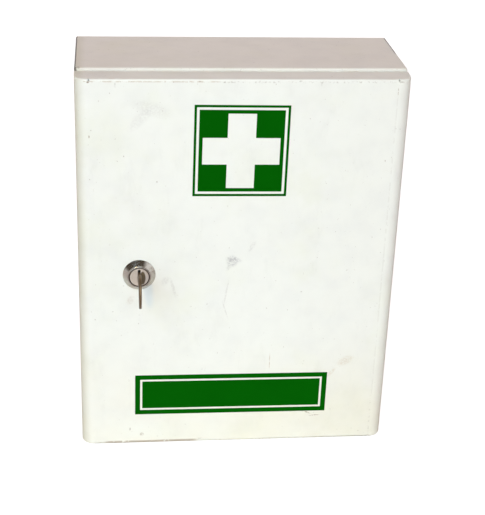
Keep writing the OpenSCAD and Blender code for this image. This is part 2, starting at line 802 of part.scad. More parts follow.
// Cross label: an outer line, then a green field with a bare cross in it
module cross_label() {
    step = cross_line + cross_bare;
    color("green") on_door(cross_x, case_h - cross_drop, cross_tilt) {
        difference() {
            square([cross_w, cross_h], center = true);
            square([cross_w - 2 * cross_line, cross_h - 2 * cross_line], center = true);
        }
        difference() {
            square([cross_w - 2 * step, cross_h - 2 * step], center = true);
            square([arm_w, cross_h - 2 * step - 2 * arm_end], center = true);
            square([cross_w - 2 * step - 2 * arm_end, arm_w], center = true);
        }
    }
}

// Sign label: an outer band, then a plain green field
module sign_label() {
    step = sign_band + sign_bare;
    color("green") on_door(sign_x, sign_z, sign_tilt) {
        difference() {
            square([sign_w, sign_h], center = true);
            square([sign_w - 2 * sign_band, sign_h - 2 * sign_band], center = true);
        }
        square([sign_w - 2 * step, sign_h - 2 * step], center = true);
    }
}

case_shell();
back_panel();
lower_shelf();
upper_shelf();
shelf_supports();
hinge_bracket_upper();
hinge_bracket_lower();
door_bumpers();
door_panel();
pivot_bosses();
pivot_washers();
pivot_screws();
lock_escutcheon();
lock_body();
lock_washer();
lock_nut();
lock_plug();
lock_wafers();
lock_cam();
cam_washer();
cam_screw();
key();
cross_label();
sign_label();
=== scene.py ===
"""Looks of the lockable medicine cabinet: folded sheet, enamel, cam lock, key, labels and the studio."""

import logging  # noqa: E402
import math  # noqa: E402
from collections.abc import Callable, Iterable, Iterator, Sequence  # noqa: E402
from contextlib import contextmanager  # noqa: E402
from dataclasses import dataclass, field  # noqa: E402
from enum import Enum  # noqa: E402
from functools import reduce  # noqa: E402

import bmesh  # noqa: E402
import bpy  # noqa: E402
from mathutils import Matrix, Vector  # noqa: E402

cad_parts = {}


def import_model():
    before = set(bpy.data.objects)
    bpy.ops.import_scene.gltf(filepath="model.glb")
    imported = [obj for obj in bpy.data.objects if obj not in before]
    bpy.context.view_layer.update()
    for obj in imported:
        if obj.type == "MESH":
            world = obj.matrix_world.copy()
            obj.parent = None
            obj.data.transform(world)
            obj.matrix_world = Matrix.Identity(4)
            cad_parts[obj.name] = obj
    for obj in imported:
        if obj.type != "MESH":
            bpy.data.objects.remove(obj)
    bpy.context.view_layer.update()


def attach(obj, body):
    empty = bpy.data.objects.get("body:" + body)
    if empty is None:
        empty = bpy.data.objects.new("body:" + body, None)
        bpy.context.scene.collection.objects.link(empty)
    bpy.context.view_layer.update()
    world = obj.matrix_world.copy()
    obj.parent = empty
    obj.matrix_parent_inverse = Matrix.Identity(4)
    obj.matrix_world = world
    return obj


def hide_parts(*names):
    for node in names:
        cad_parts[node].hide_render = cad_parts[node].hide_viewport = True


LOG = logging.getLogger("cabinet")
MM = 0.001
# Closer than this in metres, points are one. Below these angles a fold is flat and an edge is smooth.
SAME_POINT = 1e-7
FLAT = math.radians(0.4)
CREASE = math.radians(40)
Piece = bpy.types.Object
Socket = bpy.types.NodeSocket
Material = bpy.types.Material
Form = bmesh.types.BMesh
Colour = tuple[float, float, float]
Point2 = tuple[float, float]
Stop = tuple[float, Colour]


class Body(Enum):
    """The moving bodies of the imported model."""

    CABINET = "cabinet"
    DOOR = "door"
    PLUG = "lock_plug"
    KEY = "key"


class Slot(Enum):
    """The record's material slots."""

    PAINT = "white_paint"
    ZINC = "zinc"
    NICKEL = "nickel"
    PLUG_METAL = "plug_metal"
    BRASS = "brass"
    FILM = "green_film"
    NYLON = "nylon"
    RUBBER = "grey_rubber"


class Along(Enum):
    """The axis that a flat outline is pushed along, and the two axes that it is drawn in."""

    X = (1, 2, 0)
    Y = (0, 2, 1)
    Z = (0, 1, 2)


# Mesh work


def place_on(axis: Along, u: float, v: float, w: float) -> Vector:
    """Turns a point drawn on an axis' plane into a point in metres.

    Args:
        axis: The axis that the outline is pushed along.
        u: First coordinate in the outline's plane, in millimetres.
        v: Second coordinate in the outline's plane, in millimetres.
        w: Distance along the axis, in millimetres.

    Returns:
        The point in metres.
    """
    point = [0.0, 0.0, 0.0]
    for index, value in zip(axis.value, (u, v, w), strict=True):
        point[index] = value * MM
    return Vector(point)


def in_metres(*sizes: float) -> list[float]:
    """Turns millimetres into metres."""
    return [size * MM for size in sizes]


def in_scene(name: str, data: bpy.types.ID) -> Piece:
    """Makes an object and links it to the scene.

    Args:
        name: Name of the object.
        data: Its mesh, curve, lamp or camera.

    Returns:
        The object.
    """
    made = bpy.data.objects.new(name, data)
    bpy.context.scene.collection.objects.link(made)
    return made


@contextmanager
def reworked(mesh: bpy.types.Mesh) -> Iterator[Form]:
    """Opens a mesh for work, then writes the work back to it.

    Args:
        mesh: The mesh.

    Returns:
        A context that gives the mesh under work.
    """
    form = bmesh.new()
    form.from_mesh(mesh)
    yield form
    form.to_mesh(mesh)
    form.free()


def bevel(
    form: Form,
    edges: Sequence[bmesh.types.BMEdge],
    width: float,
    segments: int,
    held_back: bool = False,
) -> None:
    """Breaks or rounds edges of a mesh under work.

    Args:
        form: The mesh.
        edges: The edges.
        width: Distance of the bevel's border from the edge, in millimetres.
        segments: Number of faces across it.
        held_back: Whether the width gives way where edges are short.
    """
    bmesh.ops.bevel(
        form,
        geom=edges,
        offset=width * MM,
        offset_type="OFFSET",
        segments=segments,
        profile=0.5,
        affect="EDGES",
        clamp_overlap=held_back,
    )


def mesh_piece(name: str, form: Form) -> Piece:
    """Makes a scene object of a mesh under work, with its faces turned outwards.

    Args:
        name: Name of the piece.
        form: The mesh, which is freed.

    Returns:
        The new object at the origin.
    """
    bmesh.ops.recalc_face_normals(form, faces=form.faces)
    mesh = bpy.data.meshes.new(name)
    form.to_mesh(mesh)
    form.free()
    return in_scene(name, mesh)


def prism(name: str, axis: Along, outline: Sequence[Point2], low: float, high: float) -> Piece:
    """Pushes a closed outline along an axis.

    Args:
        name: Name of the piece.
        axis: The axis that the outline is pushed along.
        outline: Corners in order, in millimetres.
        low: Start along the axis, in millimetres.
        high: End along the axis, in millimetres.

    Returns:
        The closed prism.
    """
    form = bmesh.new()
    near = [form.verts.new(place_on(axis, u, v, low)) for u, v in outline]
    far = [form.verts.new(place_on(axis, u, v, high)) for u, v in outline]
    form.faces.new(near)
    form.faces.new(reversed(far))
    count = len(outline)
    for i in range(count):
        j = (i + 1) % count
        form.faces.new((near[i], near[j], far[j], far[i]))
    return mesh_piece(name, form)


def block(across: Point2, depth: Point2, height: Point2) -> Piece:
    """Makes a plain cutter between (low, high) pairs in millimetres."""
    (x0, x1), (y0, y1) = across, depth
    return prism("cutter", Along.Z, [(x0, y0), (x1, y0), (x1, y1), (x0, y1)], *height)


def joined(parts: Sequence[Piece]) -> Piece:
    """Joins pieces into the first one, and removes the others.

    Args:
        parts: The pieces.

    Returns:
        The first piece.
    """
    with reworked(parts[0].data) as form:
        for part in parts[1:]:
            form.from_mesh(part.data)
            bpy.data.objects.remove(part)
    return parts[0]


def plain_mesh(piece: Piece) -> Piece:
    """Bakes a piece's modifiers into its mesh and removes them.

    Args:
        piece: The piece with live modifiers.

    Returns:
        The same piece, with a plain mesh.
    """
    graph = bpy.context.evaluated_depsgraph_get()
    graph.update()
    baked = bpy.data.meshes.new_from_object(piece.evaluated_get(graph), depsgraph=graph)
    piece.modifiers.clear()
    piece.data = baked
    baked.name = piece.name
    return piece


def carve(piece: Piece, cutters: Iterable[Piece]) -> Piece:
    """Takes cutters out of a piece, one after another, and removes them.

    Args:
        piece: The piece to cut.
        cutters: The solids to take out.

    Returns:
        The cut piece.
    """
    for cutter in cutters:
        cut = piece.modifiers.new("cut", "BOOLEAN")
        cut.operation = "DIFFERENCE"
        cut.solver = "EXACT"
        cut.object = cutter
        plain_mesh(piece)
        bpy.data.objects.remove(cutter)
    return piece


def soften(
    piece: Piece,
    width: float,
    segments: int = 2,
    sharper_than: float = 50.0,
    where: Callable[[Vector], bool] = lambda middle: True,
    held_back: bool = True,
) -> Piece:
    """Breaks a piece's sharp edges and shades it smoothly, with its flat faces kept flat.

    Args:
        piece: The piece.
        width: Width of the broken edge in millimetres.
        segments: Number of faces across it.
        sharper_than: Least angle between faces of an edge that is broken, in degrees.
        where: Says by an edge's middle whether that edge is broken.
        held_back: Whether the width gives way where edges are short.

    Returns:
        The same piece.
    """
    with reworked(piece.data) as form:
        bmesh.ops.remove_doubles(form, verts=form.verts, dist=SAME_POINT)
        bmesh.ops.dissolve_limit(form, angle_limit=FLAT, verts=form.verts, edges=form.edges)
        sharp = [
            edge
            for edge in form.edges
            if len(edge.link_faces) == 2
            and edge.calc_face_angle(0.0) > math.radians(sharper_than)
            and where((edge.verts[0].co + edge.verts[1].co) / 2)
        ]
        if width > 0 and sharp:
            bevel(form, sharp, width, segments, held_back)
        for face in form.faces:
            face.smooth = True
        for edge in form.edges:
            edge.smooth = len(edge.link_faces) == 2 and edge.calc_face_angle(0.0) < CREASE
    weighted = piece.modifiers.new("weighted", "WEIGHTED_NORMAL")
    weighted.keep_sharp = True
    weighted.weight = 100
    return plain_mesh(piece)


def refined_node(node: str, width: float, segments: int = 2) -> Piece:
    """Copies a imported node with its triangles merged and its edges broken.

    Args:
        node: Name of the node.
        width: Width of the broken edges in millimetres.
        segments: Number of faces across a broken edge.

    Returns:
        The new piece, named after the node.
    """
    form = bmesh.new()
    form.from_mesh(bpy.data.objects[node].data)
    bmesh.ops.remove_doubles(form, verts=form.verts, dist=10 * SAME_POINT)
    bmesh.ops.dissolve_limit(form, angle_limit=math.radians(1), verts=form.verts, edges=form.edges)
    return soften(mesh_piece(node + "_refined", form), width, segments)


def round_corners(outline: Sequence[Point2], radii: Sequence[float], steps: int = 6) -> list[Point2]:
    """Rounds the corners of a closed outline.

    Args:
        outline: Corners in order, in millimetres.
        radii: Radius of each corner, 0 for a sharp one.
        steps: Number of faces in each rounded corner.

    Returns:
        The rounded outline.
    """
    rounded: list[Point2] = []
    count = len(outline)
    for i, radius in enumerate(radii):
        corner = Vector(outline[i])
        if radius <= 0:
            rounded.append(tuple(corner))
            continue
        back = (Vector(outline[i - 1]) - corner).normalized()
        ahead = (Vector(outline[(i + 1) % count]) - corner).normalized()
        half = back.angle(ahead) / 2
        reach = radius / math.tan(half)
        centre = corner + (back + ahead).normalized() * (radius / math.sin(half))
        start, end = corner + back * reach - centre, corner + ahead * reach - centre
        turn = start.angle_signed(end)
        for step in range(steps + 1):
            spoke = start.copy()
            spoke.rotate(Matrix.Rotation(-turn * step / steps, 2))
            rounded.append(tuple(centre + spoke))
    return rounded


def folded_strip(path: Sequence[Point2], bend: float, thickness: float, steps: int = 6) -> list[Point2]:
    """Draws the section of a sheet that is folded along a path.

    Args:
        path: Points of the sheet's middle plane, in millimetres.
        bend: Radius of the middle plane at each fold.
        thickness: Thickness of the sheet.
        steps: Number of faces in each fold.

    Returns:
        The closed section.
    """
    line: list[Vector] = [Vector(path[0])]
    for i in range(1, len(path) - 1):
        arc = round_corners([path[i - 1], path[i], path[i + 1]], [0, bend, 0], steps)[1:-1]
        line.extend(Vector(p) for p in arc)
    line.append(Vector(path[-1]))
    left, right = [], []
    for i, point in enumerate(line):
        before = line[max(i - 1, 0)]
        after = line[min(i + 1, len(line) - 1)]
        heading = (after - before).normalized()
        side = Vector((-heading.y, heading.x)) * (thickness / 2)
        left.append(tuple(point + side))
        right.append(tuple(point - side))
    return left + right[::-1]


def round_place(angle: float, radius: float, height: float = 0.0) -> Point2:
    """Gives the place of a point on a circle, whatever its height."""
    return radius * math.cos(angle), radius * math.sin(angle)


def turned(
    name: str,
    axis_at: Vector,
    profile: Sequence[Point2],
    sides: int = 96,
    shape: Callable[[float, float, float], Point2] = round_place,
) -> Piece:
    """Turns a closed profile about the lock's axis, which points out of the door.

    Args:
        name: Name of the piece.
        axis_at: Point on the axis at the door's front, in millimetres.
        profile: Closed profile of (radius, height out of the door), in millimetres.
        sides: Number of faces round the axis.
        shape: Turns an angle, a radius and a height into a place across and up from the axis.

    Returns:
        The turned piece.
    """
    form = bmesh.new()
    rings = []
    for radius, height in profile:
        ring = []
        for i in range(sides):
            across, up = shape(2 * math.pi * i / sides, radius, height)
            ring.append(form.verts.new((axis_at + Vector((across, -height, up))) * MM))
        rings.append(ring)
    for k, ring in enumerate(rings):
        following = rings[(k + 1) % len(rings)]
        for i in range(sides):
            j = (i + 1) % sides
            form.faces.new((ring[i], ring[j], following[j], following[i]))
    bmesh.ops.remove_doubles(form, verts=form.verts, dist=1e-8)
    return mesh_piece(name, form)


def finish_piece(
    piece: Piece,
    body: Body,
    material: Material,
    replaces: Sequence[str] = (),
) -> Piece:
    """Gives a piece its finish, its body and the nodes that it stands for, and reports it.

    Args:
        piece: The piece, in place.
        body: The body that it rides on.
        material: The finish.
        replaces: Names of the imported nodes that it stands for.

    Returns:
        The same piece.
    """
    piece.data.materials.clear()
    piece.data.materials.append(material)
    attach(piece, body.value)
    if replaces:
        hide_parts(*replaces)
    LOG.info("%s rides on %s, %d faces", piece.name, body.value, len(piece.data.polygons))
    return piece


# Node trees


def set_input(socket: Socket, value: object) -> None:
    """Links a socket to another one, or sets its own value."""
    if isinstance(value, Socket):
        socket.id_data.links.new(value, socket)
    elif isinstance(value, tuple) and len(value) == 3 and socket.type == "RGBA":
        socket.default_value = (*value, 1.0)
    else:
        socket.default_value = value


class NodeWork:
    """A node tree that is built a node a call."""

    prefix = "ShaderNode"

    def __init__(self, tree: bpy.types.NodeTree) -> None:
        """Takes up a tree and clears it.

        Args:
            tree: The tree to build in.
        """
        self.tree = tree
        tree.nodes.clear()

    def add(self, kind: str, settings: dict[str, object] | None = None, **inputs: object) -> bpy.types.Node:
        """Adds a node.

        Args:
            kind: The node's type. The tree's common prefix can be left off.
            settings: Properties of the node.
            inputs: Values or sockets by the input's name, with _ for a blank.

        Returns:
            The node.
        """
        node = self.tree.nodes.new(kind if kind.startswith("ShaderNode") else self.prefix + kind)
        for key, value in (settings or {}).items():
            setattr(node, key, value)
        for key, value in inputs.items():
            set_input(node.inputs[key.replace("_", " ")], value)
        return node

    def fill(self, kind: str, *values: object, **settings: object) -> Socket:
        """Adds a node and fills its inputs in their order.

        Args:
            kind: The node's type.
            values: Values or sockets of the first inputs.
            settings: Properties of the node.

        Returns:
            The node's first output.
        """
        node = self.add(kind, settings)
        for socket, value in zip(node.inputs, values, strict=False):
            set_input(socket, value)
        return node.outputs[0]

    def math(self, operation: str, *values: object) -> Socket:
        """Adds a sum of values or sockets."""
        return self.fill("ShaderNodeMath", *values, operation=operation)

    def times(self, *values: object) -> Socket:
        """Multiplies values or sockets."""
        return reduce(lambda a, b: self.math("MULTIPLY", a, b), values)


class GrowthTree(NodeWork):
    """A Geometry Nodes tree that ends in Realize Instances and Set Material."""

    prefix = "GeometryNode"

    def __init__(self, name: str, **sizes: object) -> None:
        """Starts the tree.

        Args:
            name: Name of the tree.
            sizes: Default value of each named input, which also says its kind.
        """
        super().__init__(bpy.data.node_groups.new(name, "GeometryNodeTree"))
        face = self.tree.interface
        face.new_socket("Geometry", in_out="INPUT", socket_type="NodeSocketGeometry")
        for label, value in sizes.items():
            kind = {int: "Int", float: "Float"}.get(type(value), "Vector")
            face.new_socket(label, in_out="INPUT", socket_type="NodeSocket" + kind).default_value = value
        face.new_socket("Geometry", in_out="OUTPUT", socket_type="NodeSocketGeometry")
        self.size = self.tree.nodes.new("NodeGroupInput").outputs
        self.begun = self.size["Geometry"]

    def placed(self, form: Socket) -> Socket:
        """Turns and moves a form by the inputs Turn and Centre."""
        centre, turn = self.size["Centre"], self.size["Turn"]
        return self.add("Transform", Geometry=form, Translation=centre, Rotation=turn).outputs[0]

    def end(self, material: Material, *forms: Socket) -> "GrowthTree":
        """Joins the forms and closes the tree.

        Args:
            material: The finish of all of them.
            forms: The sockets of the forms.

        Returns:
            The same tree.
        """
        join = self.add("JoinGeometry")
        for form in reversed(forms):
            self.tree.links.new(form, join.inputs[0])
        realize = self.add("RealizeInstances", Geometry=join.outputs[0])
        dress = self.add("SetMaterial", Geometry=realize.outputs[0], Material=material)
        self.tree.links.new(dress.outputs[0], self.tree.nodes.new("NodeGroupOutput").inputs[0])
        return self

    def grow(self, piece: Piece, **sizes: object) -> Piece:
        """Runs the tree on a piece and keeps the result as a plain mesh.

        Args:
            piece: The piece that the tree starts from.
            sizes: Values by the input's name.

        Returns:
            The same piece.
        """
        modifier = piece.modifiers.new(self.tree.name, "NODES")
        modifier.node_group = self.tree
        for item in self.tree.interface.items_tree:
            if item.item_type == "SOCKET" and item.in_out == "INPUT" and item.name in sizes:
                modifier[item.identifier] = sizes[item.name]
        return plain_mesh(piece)


def weld_row_tree(material: Material) -> GrowthTree:
    """Makes the tree for a row of flattened weld spots.

    Args:
        material: Finish of the spots.

    Returns:
        The tree.
    """
    tree = GrowthTree(
        "weld_row", Count=5, Start=(0, 0, 0), Step=(0.05, 0, 0), Radius=0.0025, Flatness=0.08, Turn=(0, 0, 0)
    )
    size = tree.size
    places = {"Count": size["Count"], "Start_Location": size["Start"], "Offset": size["Step"]}
    row = tree.add("MeshLine", {"mode": "OFFSET"}, **places)
    spot = tree.add("MeshUVSphere", Segments=20, Rings=10, Radius=size["Radius"])
    flatness = tree.fill("ShaderNodeCombineXYZ", 1.0, 1.0, size["Flatness"])
    flat = tree.add("Transform", Geometry=spot.outputs[0], Scale=flatness)
    smooth = tree.add("SetShadeSmooth", Geometry=flat.outputs[0])
    spots = tree.add(
        "InstanceOnPoints", Points=row.outputs[0], Instance=smooth.outputs[0], Rotation=size["Turn"]
    )
    return tree.end(material, tree.begun, spots.outputs[0])


def thread_tree(material: Material) -> GrowthTree:
    """Makes the tree that winds a thread's ridge up +Z round a screw.

    Args:
        material: Finish of the screw.

    Returns:
        The tree.
    """
    tree = GrowthTree(
        "thread", Turns=4.0, Radius=0.0014, Length=0.002, Depth=0.0002, Centre=(0, 0, 0), Turn=(0, 0, 0)
    )
    size = tree.size
    spiral = tree.add(
        "CurveSpiral",
        Resolution=24,
        Rotations=size["Turns"],
        Start_Radius=size["Radius"],
        End_Radius=size["Radius"],
        Height=size["Length"],
    )
    ridge = tree.add("CurvePrimitiveCircle", Resolution=4, Radius=size["Depth"])
    swept = tree.add("CurveToMesh", Curve=spiral.outputs[0], Profile_Curve=ridge.outputs[0], Fill_Caps=True)
    return tree.end(material, tree.begun, tree.placed(swept.outputs[0]))


def tooth_ring_tree(material: Material) -> GrowthTree:
    """Makes the tree that sets twisted teeth round a washer.

    Args:
        material: Finish of the washer.

    Returns:
        The tree.
    """
    tree = GrowthTree(
        "tooth_ring",
        Count=12,
        Radius=0.012,
        Tooth=(0.002, 0.0045, 0.0006),
        Twist=0.12,
        Centre=(0, 0, 0),
        Turn=(0, 0, 0),
    )
    size = tree.size
    circle = tree.add("MeshCircle", Vertices=size["Count"], Radius=size["Radius"])
    tooth = tree.add("MeshCube", Size=size["Tooth"], Vertices_X=2, Vertices_Y=2, Vertices_Z=2)
    share = tree.math("DIVIDE", tree.add("InputIndex").outputs[0], size["Count"])
    turn = tree.fill("ShaderNodeCombineXYZ", size["Twist"], 0.0, tree.times(share, 2 * math.pi))
    teeth = tree.add("InstanceOnPoints", Points=circle.outputs[0], Instance=tooth.outputs[0], Rotation=turn)
    return tree.end(material, tree.begun, tree.placed(teeth.outputs[0]))


def stack_tree(material: Material) -> GrowthTree:
    """Makes the tree that repeats its own piece in a row, for the wafers.

    Args:
        material: Finish of the pieces.

    Returns:
        The tree.
    """
    tree = GrowthTree("stack", Count=5, Step=(0, 0.003, 0))
    row = tree.add("MeshLine", {"mode": "OFFSET"}, Count=tree.size["Count"], Offset=tree.size["Step"])
    copies = tree.add("InstanceOnPoints", Points=row.outputs[0], Instance=tree.begun)
    return tree.end(material, copies.outputs[0])


def turned_ring_tree(material: Material) -> GrowthTree:
    """Makes the tree that turns its own flat profile, which lies in XY with its X measured from Reach.

    Args:
        material: Finish of the ring.

    Returns:
        The tree.
    """
    tree = GrowthTree("turned_ring", Sides=128, Reach=0.02, Centre=(0, 0, 0), Turn=(0, 0, 0))
    profile = tree.add("MeshToCurve", Mesh=tree.begun)
    path = tree.add("CurvePrimitiveCircle", Resolution=tree.size["Sides"], Radius=tree.size["Reach"])
    ring = tree.add("CurveToMesh", Curve=path.outputs[0], Profile_Curve=profile.outputs[0])
    return tree.end(material, tree.placed(ring.outputs[0]))


# Finishes


@dataclass(frozen=True)
class Mark:
    """A small mark in the paint or on metal, as seen on the front view, in millimetres: a stain, a chip or
    painted shade.
    """

    x: float
    z: float
    half_w: float
    half_h: float
    strength: float
    colour: Colour = (0.33, 0.25, 0.17)
    tilt: float = 0.0
    y: float = -81.8
    hard: float = 0.35
    half_d: float = 3.0


@dataclass(frozen=True)
class GrimeAndShadeLine:
    """Dirt and chips that gather along a straight line, or painted shade laid along it, in millimetres.

    The line lies between low and high on one axis, with soft edges, and may keep to runs along the other
    axes. A run is an axis, its start, its end and how softly it ends.
    """

    axis: int
    low: float
    high: float
    strength: float
    fine: float = 900.0
    rare: float = 0.56
    runs: tuple[tuple[int, float, float, float], ...] = ()
    colour: Colour = (0.23, 0.17, 0.115)
    soft: float = 0.7


@dataclass(frozen=True)
class Cloud:
    """A cloudy layer of colour: its pattern, the values between which it shows more, and its tint."""

    scale: float
    detail: float
    roughness: float
    low: float
    high: float
    tint: Colour
    share: float = 1.0
    blend: str = "MIX"
    stretch: Colour = (1, 1, 1)


class Shader(NodeWork):
    """One material's node tree. Places are read from Object coordinates."""

    def __init__(self, name: str) -> None:
        """Starts a material with a principled shader.

        Args:
            name: Name of the material.
        """
        self.material = bpy.data.materials.new(name)
        self.material.use_nodes = True
        super().__init__(self.material.node_tree)
        self.surface = self.add("BsdfPrincipled")
        self.out = self.add("OutputMaterial", Surface=self.surface.outputs[0])
        self.place = self.add("TexCoord").outputs["Object"]
        self.x, self.y, self.z = self.add("SeparateXYZ", Vector=self.place).outputs

    def noise(
        self, scale: float, detail: float = 3.0, roughness: float = 0.5, stretch: Colour = (1, 1, 1)
    ) -> Socket:
        """Adds a cloudy pattern.

        Args:
            scale: Number of clouds in a metre.
            detail: How many finer layers it has.
            roughness: Strength of the finer layers.
            stretch: Factor on each axis.

        Returns:
            The pattern's socket, from 0 to 1.
        """
        spread = self.add("Mapping", Vector=self.place, Scale=stretch).outputs[0]
        cloud = self.add("TexNoise", Vector=spread, Scale=scale, Detail=detail, Roughness=roughness)
        return cloud.outputs["Fac"]

    def step(self, value: object, low: float, high: float) -> Socket:
        """Adds a smooth step.

        Args:
            value: The socket to read.
            low: Value at which the result is 0.
            high: Value at which the result is 1.

        Returns:
            The result's socket.
        """
        rising = low < high
        node = self.add(
            "MapRange",
            {"interpolation_type": "SMOOTHSTEP"},
            Value=value,
            From_Min=min(low, high),
            From_Max=max(low, high),
            To_Min=0.0 if rising else 1.0,
            To_Max=1.0 if rising else 0.0,
        )
        return node.outputs["Result"]

    def band(self, value: object, low: float, high: float, soft: float) -> Socket:
        """Adds a mask that is 1 between two values.

        Args:
            value: The socket to read.
            low: Lower edge.
            high: Upper edge.
            soft: Width of each soft edge.

        Returns:
            The mask's socket.
        """
        return self.times(self.step(value, low - soft, low), self.step(value, high + soft, high))

    def mix(self, share: object, a: object, b: object, blend: str = "MIX") -> Socket:
        """Mixes two colours.

        Args:
            share: Share of the second colour.
            a: First colour or socket.
            b: Second colour or socket.
            blend: The way they are mixed.

        Returns:
            The colour's socket.
        """
        node = self.add("Mix", {"data_type": "RGBA", "blend_type": blend, "clamp_factor": True})
        set_input(node.inputs[0], share)
        set_input(node.inputs[6], a)
        set_input(node.inputs[7], b)
        return node.outputs[2]

    def spot(self, mark: Mark) -> Socket:
        """Adds a mask for a soft oval.

        Args:
            mark: The oval's place and size.

        Returns:
            The mask's socket, 1 in the middle and 0 outside.
        """
        local = self.add(
            "Mapping",
            {"vector_type": "TEXTURE"},
            Vector=self.place,
            Location=in_metres(mark.x, mark.y, mark.z),
            Rotation=(0, mark.tilt, 0),
            Scale=in_metres(mark.half_w, mark.half_d, mark.half_h),
        )
        reach = self.add("VectorMath", {"operation": "LENGTH"}, Vector=local.outputs[0])
        return self.step(reach.outputs["Value"], 1.0, mark.hard)

    def clouded(self, colour: object, *clouds: Cloud) -> Socket:
        """Lays cloudy layers over a colour.

        Args:
            colour: The colour or socket beneath them.
            clouds: The layers in order.

        Returns:
            The colour's socket.
        """
        for cloud in clouds:
            pattern = self.noise(cloud.scale, cloud.detail, cloud.roughness, cloud.stretch)
            share = self.step(pattern, cloud.low, cloud.high)
            if cloud.share < 1:
                share = self.times(share, cloud.share)
            colour = self.mix(share, colour, cloud.tint, cloud.blend)
        return colour

    def uneven(self, pattern: Socket, swing: float, middle: float) -> Socket:
        """Gives a value that swings about its middle with a pattern."""
        return self.math("ADD", self.times(pattern, swing), middle)

    def bump(self, height: object, distance: float, strength: float = 1.0, under: object = None) -> Socket:
        """Adds a relief.

        Args:
            height: The relief's height, from 0 to 1.
            distance: Its depth in metres.
            strength: Share of it that shows.
            under: Normal of a relief beneath it.

        Returns:
            The normal's socket.
        """
        node = self.add("Bump", Height=height, Distance=distance, Strength=strength)
        if under is not None:
            set_input(node.inputs["Normal"], under)
        return node.outputs[0]

    def surface_is(self, **inputs: object) -> Material:
        """Sets the principled shader's inputs and gives the material."""
        for key, value in inputs.items():
            set_input(self.surface.inputs[key.replace("_", " ")], value)
        return self.material


@dataclass(frozen=True)
class Enamel:
    """White baked enamel that has aged: clouds, specks, grime at the folds and orange peel, with painted
    shade towards the right, the lower right and along both upright rims.
    """

    name: str
    tint: Colour = (0.885, 0.905, 0.85)
    aged: Colour = (0.895, 0.868, 0.745)
    dirt: Colour = (0.23, 0.17, 0.115)
    roughness: float = 0.4
    age_below: float = 160.0
    half_width: float = 160.0
    # Widths of the painted shade along the left and right upright rims, in millimetres.
    left_rim_shade: float = 12.0
    right_rim_shade: float = 9.0
    clouds: tuple[Cloud, ...] = (
        Cloud(38, 3, 0.55, 0.35, 0.8, (0.955, 0.955, 0.965), blend="MULTIPLY"),
        Cloud(11, 4, 0.65, 0.45, 0.75, (0.97, 0.975, 0.93), blend="MULTIPLY"),
        Cloud(60, 6, 0.75, 0.52, 0.8, (0.94, 0.94, 0.94), blend="MULTIPLY", stretch=(1, 1, 0.3)),
        Cloud(14, 5, 0.65, 0.55, 0.8, (0.7, 0.66, 0.6), 0.14),
    )
    marks: tuple[Mark, ...] = ()
    lines: tuple[GrimeAndShadeLine, ...] = ()
    worn_before: float = 60.0

    def material(self) -> Material:
        """Builds the material.

        Returns:
            The material.
        """
        s = Shader(self.name)
        clouds = s.noise(7, 4, 0.6)
        half = self.half_width * MM
        below = self.age_below * MM
        age = s.times(s.step(s.z, below, -0.03), s.step(clouds, 0.15, 0.7))
        colour = s.clouded(s.mix(age, self.tint, self.aged), *self.clouds)
        # Painted shade: the paint is made darker towards the right, towards the lower right, and along the
        # rounded left and right upright rims.
        painted_shade_layers = (
            (s.step(s.x, 0, half), (0.965, 0.96, 0.955)),
            (s.times(s.step(s.x, 0.02, half), s.step(s.z, below, 0)), (0.975, 0.975, 0.985)),
            (s.step(s.x, self.left_rim_shade * MM - half, -half), (0.87, 0.86, 0.79)),
            (s.step(s.x, half - self.right_rim_shade * MM, half), (0.95, 0.97, 0.97)),
        )
        for share, tint in painted_shade_layers:
            colour = s.mix(share, colour, tint, "MULTIPLY")
        colour = s.clouded(colour, Cloud(420, 2, 0.5, 0.73, 0.79, self.dirt, 0.45))
        outside = s.step(s.y, (self.worn_before + 0.3) * MM, self.worn_before * MM)
        places = (s.x, s.y, s.z)
        # Each line lays grime, or painted shade where the line is given for shade.
        for line in self.lines:
            where = s.band(places[line.axis], *in_metres(line.low, line.high, line.soft))
            runs = [s.band(places[axis], *in_metres(*run)) for axis, *run in line.runs]
            rough = s.step(s.noise(line.fine, 3, 0.7), line.rare, line.rare + 0.1)
            share = s.times(where, outside, *runs, rough, line.strength)
            colour = s.mix(share, colour, line.colour)
        for mark in self.marks:
            torn = s.step(s.noise(500, 4, 0.7), 0.35, 0.6)
            share = s.times(s.spot(mark), torn, outside, mark.strength)
            colour = s.mix(share, colour, mark.colour)
        rough = s.uneven(clouds, 0.14, self.roughness - 0.07)
        peel = s.bump(s.noise(650, 2, 0.4), 0.00003)
        wave = s.bump(s.noise(16, 2, 0.4), 0.0004, 0.6, peel)
        return s.surface_is(Base_Color=colour, Roughness=rough, Normal=wave, IOR=1.5, Specular_IOR_Level=0.4)


